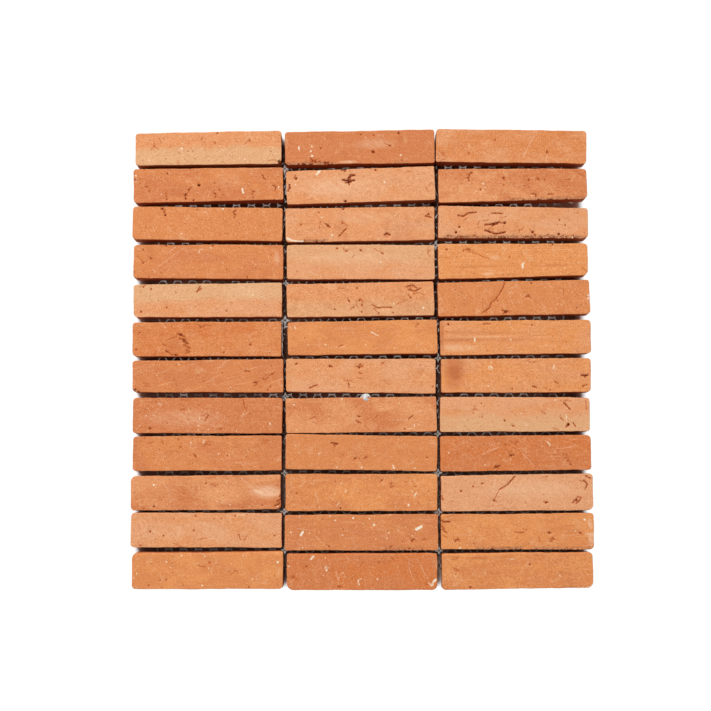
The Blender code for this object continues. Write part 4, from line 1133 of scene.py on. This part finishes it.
        pits=((50.5, 7.2, 0.5), (76.2, 23.4, 0.5), (93, 16, 0.3), (18.5, 18.6), (22.4, 18.2), (11, 21.8)),
        flecks=((94.8, 7.1, 0.8), (47.3, 2.9, 0.6), (45.8, 22, 0.6), (78.4, 18, 0.5), (72.5, 2.5, 0.5),
            (32.2, 2.5, 0.6), (22.4, 6.4, 0.5), (3, 14, 0.5), (50, 10.6, 0.5), (1.2, 17), (34, 18)),
        cracks=(((43, 9), (48, 10)), ((65, 15), (67, 12), (69.4, 14))), shoulder=1.8,
        corners=(4, 1.6, 2.4, 2.6)),
    (12, 2): dict(
        pits=((12.9, 8.6), (34.7, 22, 0.5), (4.3, 16, 0.3), (91, 20.2, 0.3), (60, 6), (1, 7)),
        flecks=((58.9, 16.8, 0.6), (25, 3, 0.5), (1.6, 8.5, 0.5), (25.7, 11, 0.7), (46, 4.4), (23.8, 14.2),
            (40, 3.6)),
        cracks=(((12, 8.8), (14.4, 8.4)), ((2, 14.8), (6, 15.2)), ((2.4, 16.4), (6, 16.8)),
            ((23.6, 9), (28, 11.6)), ((68, 2), (70, 6)), (0.25, (33.4, 21.6), (36.2, 22.2)),
            ((0.4, 6), (1.8, 8)), ((50, 5.4), (47.6, 8.6))),
        streaks=((0.7, (15.7, 3.8), (17.3, 2)), ((48.4, 16.6), (46.4, 17.6), (46.6, 19.6), (47.6, 20.8)),
            (0.65, (96.9, 17), (95.4, 18.6)), ((95.4, 18.6), (93.9, 20.8)),
            (0.35, (92.3, 19.1), (93.9, 21.6), (95.4, 20.4)), (0.2, (24.4, 9.8), (25.6, 8.6), (27.4, 9.6)),
            (0.15, (34, 16), (36.4, 12), (38.4, 16))),
        scrapes=(((79.5, 4), (79.6, 9), (81, 14), (83, 18)), ((85, 4), (87.4, 8), (89, 12), (92, 17)),
            (0.3, (32, 12), (33.6, 17.6))), shoulder=0.8, corners=(1.6, 1.4, 4.4, 3.6)),
    (12, 3): dict(
        shade_in_hollows=0.75, pits=((57.2, 7.8, 0.5), (18.5, 22.2, 0.6)),
        flecks=((76.8, 15.6, 0.6), (89.6, 17.4), (52, 12)), streaks=((0.3, (44.8, 4.4), (47, 4.1)),),
        cracks=(((7, 9), (9.4, 10.4), (9, 14)), ((9.4, 10.4), (12, 11.4)), ((17, 21.6), (20.4, 22.4)),
            ((6, 4), (11, 3.4))),
        stains=((24, 3.2, 8, 1.2, 0.6), (40, 2.6, 8, 0.8, 0.3), (8, 2.4, 6, 1, 0.4)), shoulder=0.8,
        corners=(1.2, 3, 2.2, 4.2)),
}


def make_slips():
    """Every slip, in the place of its solid."""
    blank = slip_blank()
    grid = np.empty(len(blank.vertices) * 3)
    blank.vertices.foreach_get("co", grid)
    grid = grid.reshape(-1, 3) * (1, 1, -1)
    for row in range(1, ROWS + 1):
        for column in range(1, COLUMNS + 1):
            node = node_name(row, column)
            middle, turn, length, height, flare, top = place_of(node)
            seed = row * 7.31 + column * 3.77
            first, last = column == 1, column == COLUMNS
            outer = (first or row == 1, last or row == 1, first or row == ROWS, last or row == ROWS)
            marks = MARKS[row, column]
            points, masks = shape_slip(grid, length, height, flare, seed, marks, outer)
            c, s = math.cos(turn), math.sin(turn)
            laid = np.stack((
                middle[0] + c * points[:, 0] - s * points[:, 1],
                middle[1] + s * points[:, 0] + c * points[:, 1],
                top + points[:, 2]), 1) * MM
            mesh = blank.copy()
            mesh.name = f"slip_r{row:02d}_c{column}"
            mesh.vertices.foreach_set("co", laid.ravel())
            for name, values in masks.items():
                kind, key = ("FLOAT", "value") if values.ndim == 1 else ("FLOAT_VECTOR", "vector")
                mesh.attributes.new(name, kind, "POINT").data.foreach_set(key, values.ravel())
            mesh.update()
            mesh.materials.append(clay_material(
                f"r{row:02d}_c{column}", middle, turn, seed, LOOKS[row, column], marks.get("shade_in_hollows", 1.0)))
            mesh.shade_smooth()
            slip = bpy.data.objects.new(mesh.name, mesh)
            bpy.context.collection.objects.link(slip)
            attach(slip, "root")
            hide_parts(node)
    bpy.data.meshes.remove(blank)


make_slips()

# The studio
# A white floor with soft light from high on the left, and the camera high in front of the sheet.
FRAME_WIDTH = 711
FOCAL_PIXELS = 1542
CAMERA_DISTANCE = 1.0037
CAMERA_LEAN = math.radians(4.94)
CAMERA_ROLL = math.radians(0.23)
FRAME_SHIFT = (5.66, 1.37)
SENSOR_MM = 36.0
AIM = (0.0, -0.00016, 0.0128)
FLOOR_SIZE = 3.0
FLOOR_LEVEL = -0.1 * MM
SHEET_LEFT, SHEET_RIGHT, SHEET_TOP = 150 * MM, 148.8 * MM, 150.5 * MM
WHITE = (1, 1, 1, 1)
FLOOR_GLOW = 1.05
SHADE_DEEP = (0.15, 0.085, 0.062, 1)
SHADE_PALE = (0.50, 0.36, 0.29, 1)
# Painted light on the shaded floor: lighter towards the bottom of the sheet and in two patches under the
# joints
FLOOR_PAINTED_LIGHT = (0.62, 0.50, 0.43, 1)
LIT_FLOOR_PATCHES = ((-100, -25, 47, 2), (50, -141, 1, 8))
LAMP_AT = (-1.0, 1.9, 3.4)
LAMP_SIZE = (2.0, 1.6)
LAMP_POWER = 184.0
ROUND_LIGHT = 0.15


def make_floor():
    """A white floor, dark only where the sheet shades it."""
    bm = bmesh.new()
    bmesh.ops.create_grid(bm, x_segments=1, y_segments=1, size=FLOOR_SIZE)
    bmesh.ops.translate(bm, vec=(0, 0, FLOOR_LEVEL), verts=bm.verts)
    mesh = mesh_from(bm, "floor")
    material, tree, shader = new_material("floor_white")
    where = place_in(tree)
    split = parts_of(tree, where)
    past_left = maths(tree, "SUBTRACT", maths(tree, "MULTIPLY", split["X"], -1.0), SHEET_LEFT)
    past_right = maths(tree, "SUBTRACT", split["X"], SHEET_RIGHT)
    past_top = maths(tree, "SUBTRACT", maths(tree, "ABSOLUTE", split["Y"]), SHEET_TOP)
    beyond = maths(tree, "MAXIMUM", maths(tree, "MAXIMUM", past_left, past_right), past_top)
    patches = ramp(tree, noise_of(tree, where, 14.0, 1.0), 0.35, 0.65)
    shaded = blend_colour(tree, patches, SHADE_DEEP, SHADE_PALE)
    # Painted shade: the floor under the column joints is darkened further, where the narrow joints shade it.
    near_joint = ramp(tree, off_column_joint(tree, split["X"]), 4 * MM, 2 * MM, 0.0, 0.9)
    shaded = blend_colour(tree, near_joint, shaded, JOINT_SHADE)
    # Painted light: the shaded floor is lifted towards the bottom of the sheet and in two patches, where more
    # light reaches down the joints.
    shaded = blend_colour(tree, ramp(tree, split["Y"], *LOWER_PART, 0.0, 0.3), shaded, FLOOR_PAINTED_LIGHT)
    for x, y, wide, tall in LIT_FLOOR_PATCHES:
        beside = maths(tree, "ABSOLUTE", maths(tree, "SUBTRACT", split["X"], x * MM))
        above = maths(tree, "ABSOLUTE", maths(tree, "SUBTRACT", split["Y"], y * MM))
        lit_patch = maths(tree, "MULTIPLY", ramp(tree, beside, (wide + 3) * MM, wide * MM),
                      ramp(tree, above, (tall + 3) * MM, tall * MM, 0.0, 0.8))
        shaded = blend_colour(tree, lit_patch, shaded, FLOOR_PAINTED_LIGHT)
    colour = blend_colour(tree, ramp(tree, beyond, -9 * MM, -2 * MM), shaded, WHITE)
    open_floor = ramp(tree, beyond, -5 * MM, 0.0)
    colour = blend_colour(tree, open_floor, colour, BLACK)
    glow = blend_colour(tree, open_floor, BLACK, WHITE)
    tree.links.new(colour, shader.inputs["Base Color"])
    tree.links.new(glow, shader.inputs["Emission Color"])
    shader.inputs["Emission Strength"].default_value = FLOOR_GLOW
    shader.inputs["Roughness"].default_value = 0.9
    shader.inputs["Specular IOR Level"].default_value = 0.0
    mesh.materials.append(material)
    floor = bpy.data.objects.new("floor", mesh)
    bpy.context.collection.objects.link(floor)


def make_light():
    """A large soft light from the top left, and even light all round."""
    lamp = bpy.data.lights.new("key_light", "AREA")
    lamp.shape = "RECTANGLE"
    lamp.size, lamp.size_y = LAMP_SIZE
    lamp.energy = LAMP_POWER
    key = bpy.data.objects.new("key_light", lamp)
    bpy.context.collection.objects.link(key)
    key.location = LAMP_AT
    key.rotation_euler = Vector(LAMP_AT).to_track_quat("Z", "Y").to_euler()
    world = bpy.data.worlds.new("studio")
    world.use_nodes = True
    sky = world.node_tree.nodes["Background"]
    sky.inputs["Color"].default_value = WHITE
    sky.inputs["Strength"].default_value = ROUND_LIGHT
    bpy.context.scene.world = world


def make_camera():
    """The camera, which looks down on the middle of the sheet."""
    target = Vector(AIM)
    back = Vector((0, -math.sin(CAMERA_LEAN), math.cos(CAMERA_LEAN)))
    right = Vector((1, 0, 0))
    up = back.cross(right)
    c, s = math.cos(CAMERA_ROLL), math.sin(CAMERA_ROLL)
    right, up = c * right - s * up, s * right + c * up
    turn = Matrix((right, up, back)).transposed().to_4x4()
    data = bpy.data.cameras.new("camera")
    data.sensor_width = SENSOR_MM
    data.lens = FOCAL_PIXELS * SENSOR_MM / FRAME_WIDTH
    data.shift_x = -FRAME_SHIFT[0] / FRAME_WIDTH
    data.shift_y = FRAME_SHIFT[1] / FRAME_WIDTH
    data.clip_end = 20.0
    camera = bpy.data.objects.new("camera", data)
    bpy.context.collection.objects.link(camera)
    camera.matrix_world = Matrix.Translation(target + back * CAMERA_DISTANCE) @ turn
    bpy.context.scene.camera = camera
    bpy.context.scene.view_settings.view_transform = "Standard"


make_floor()
make_light()
make_camera()
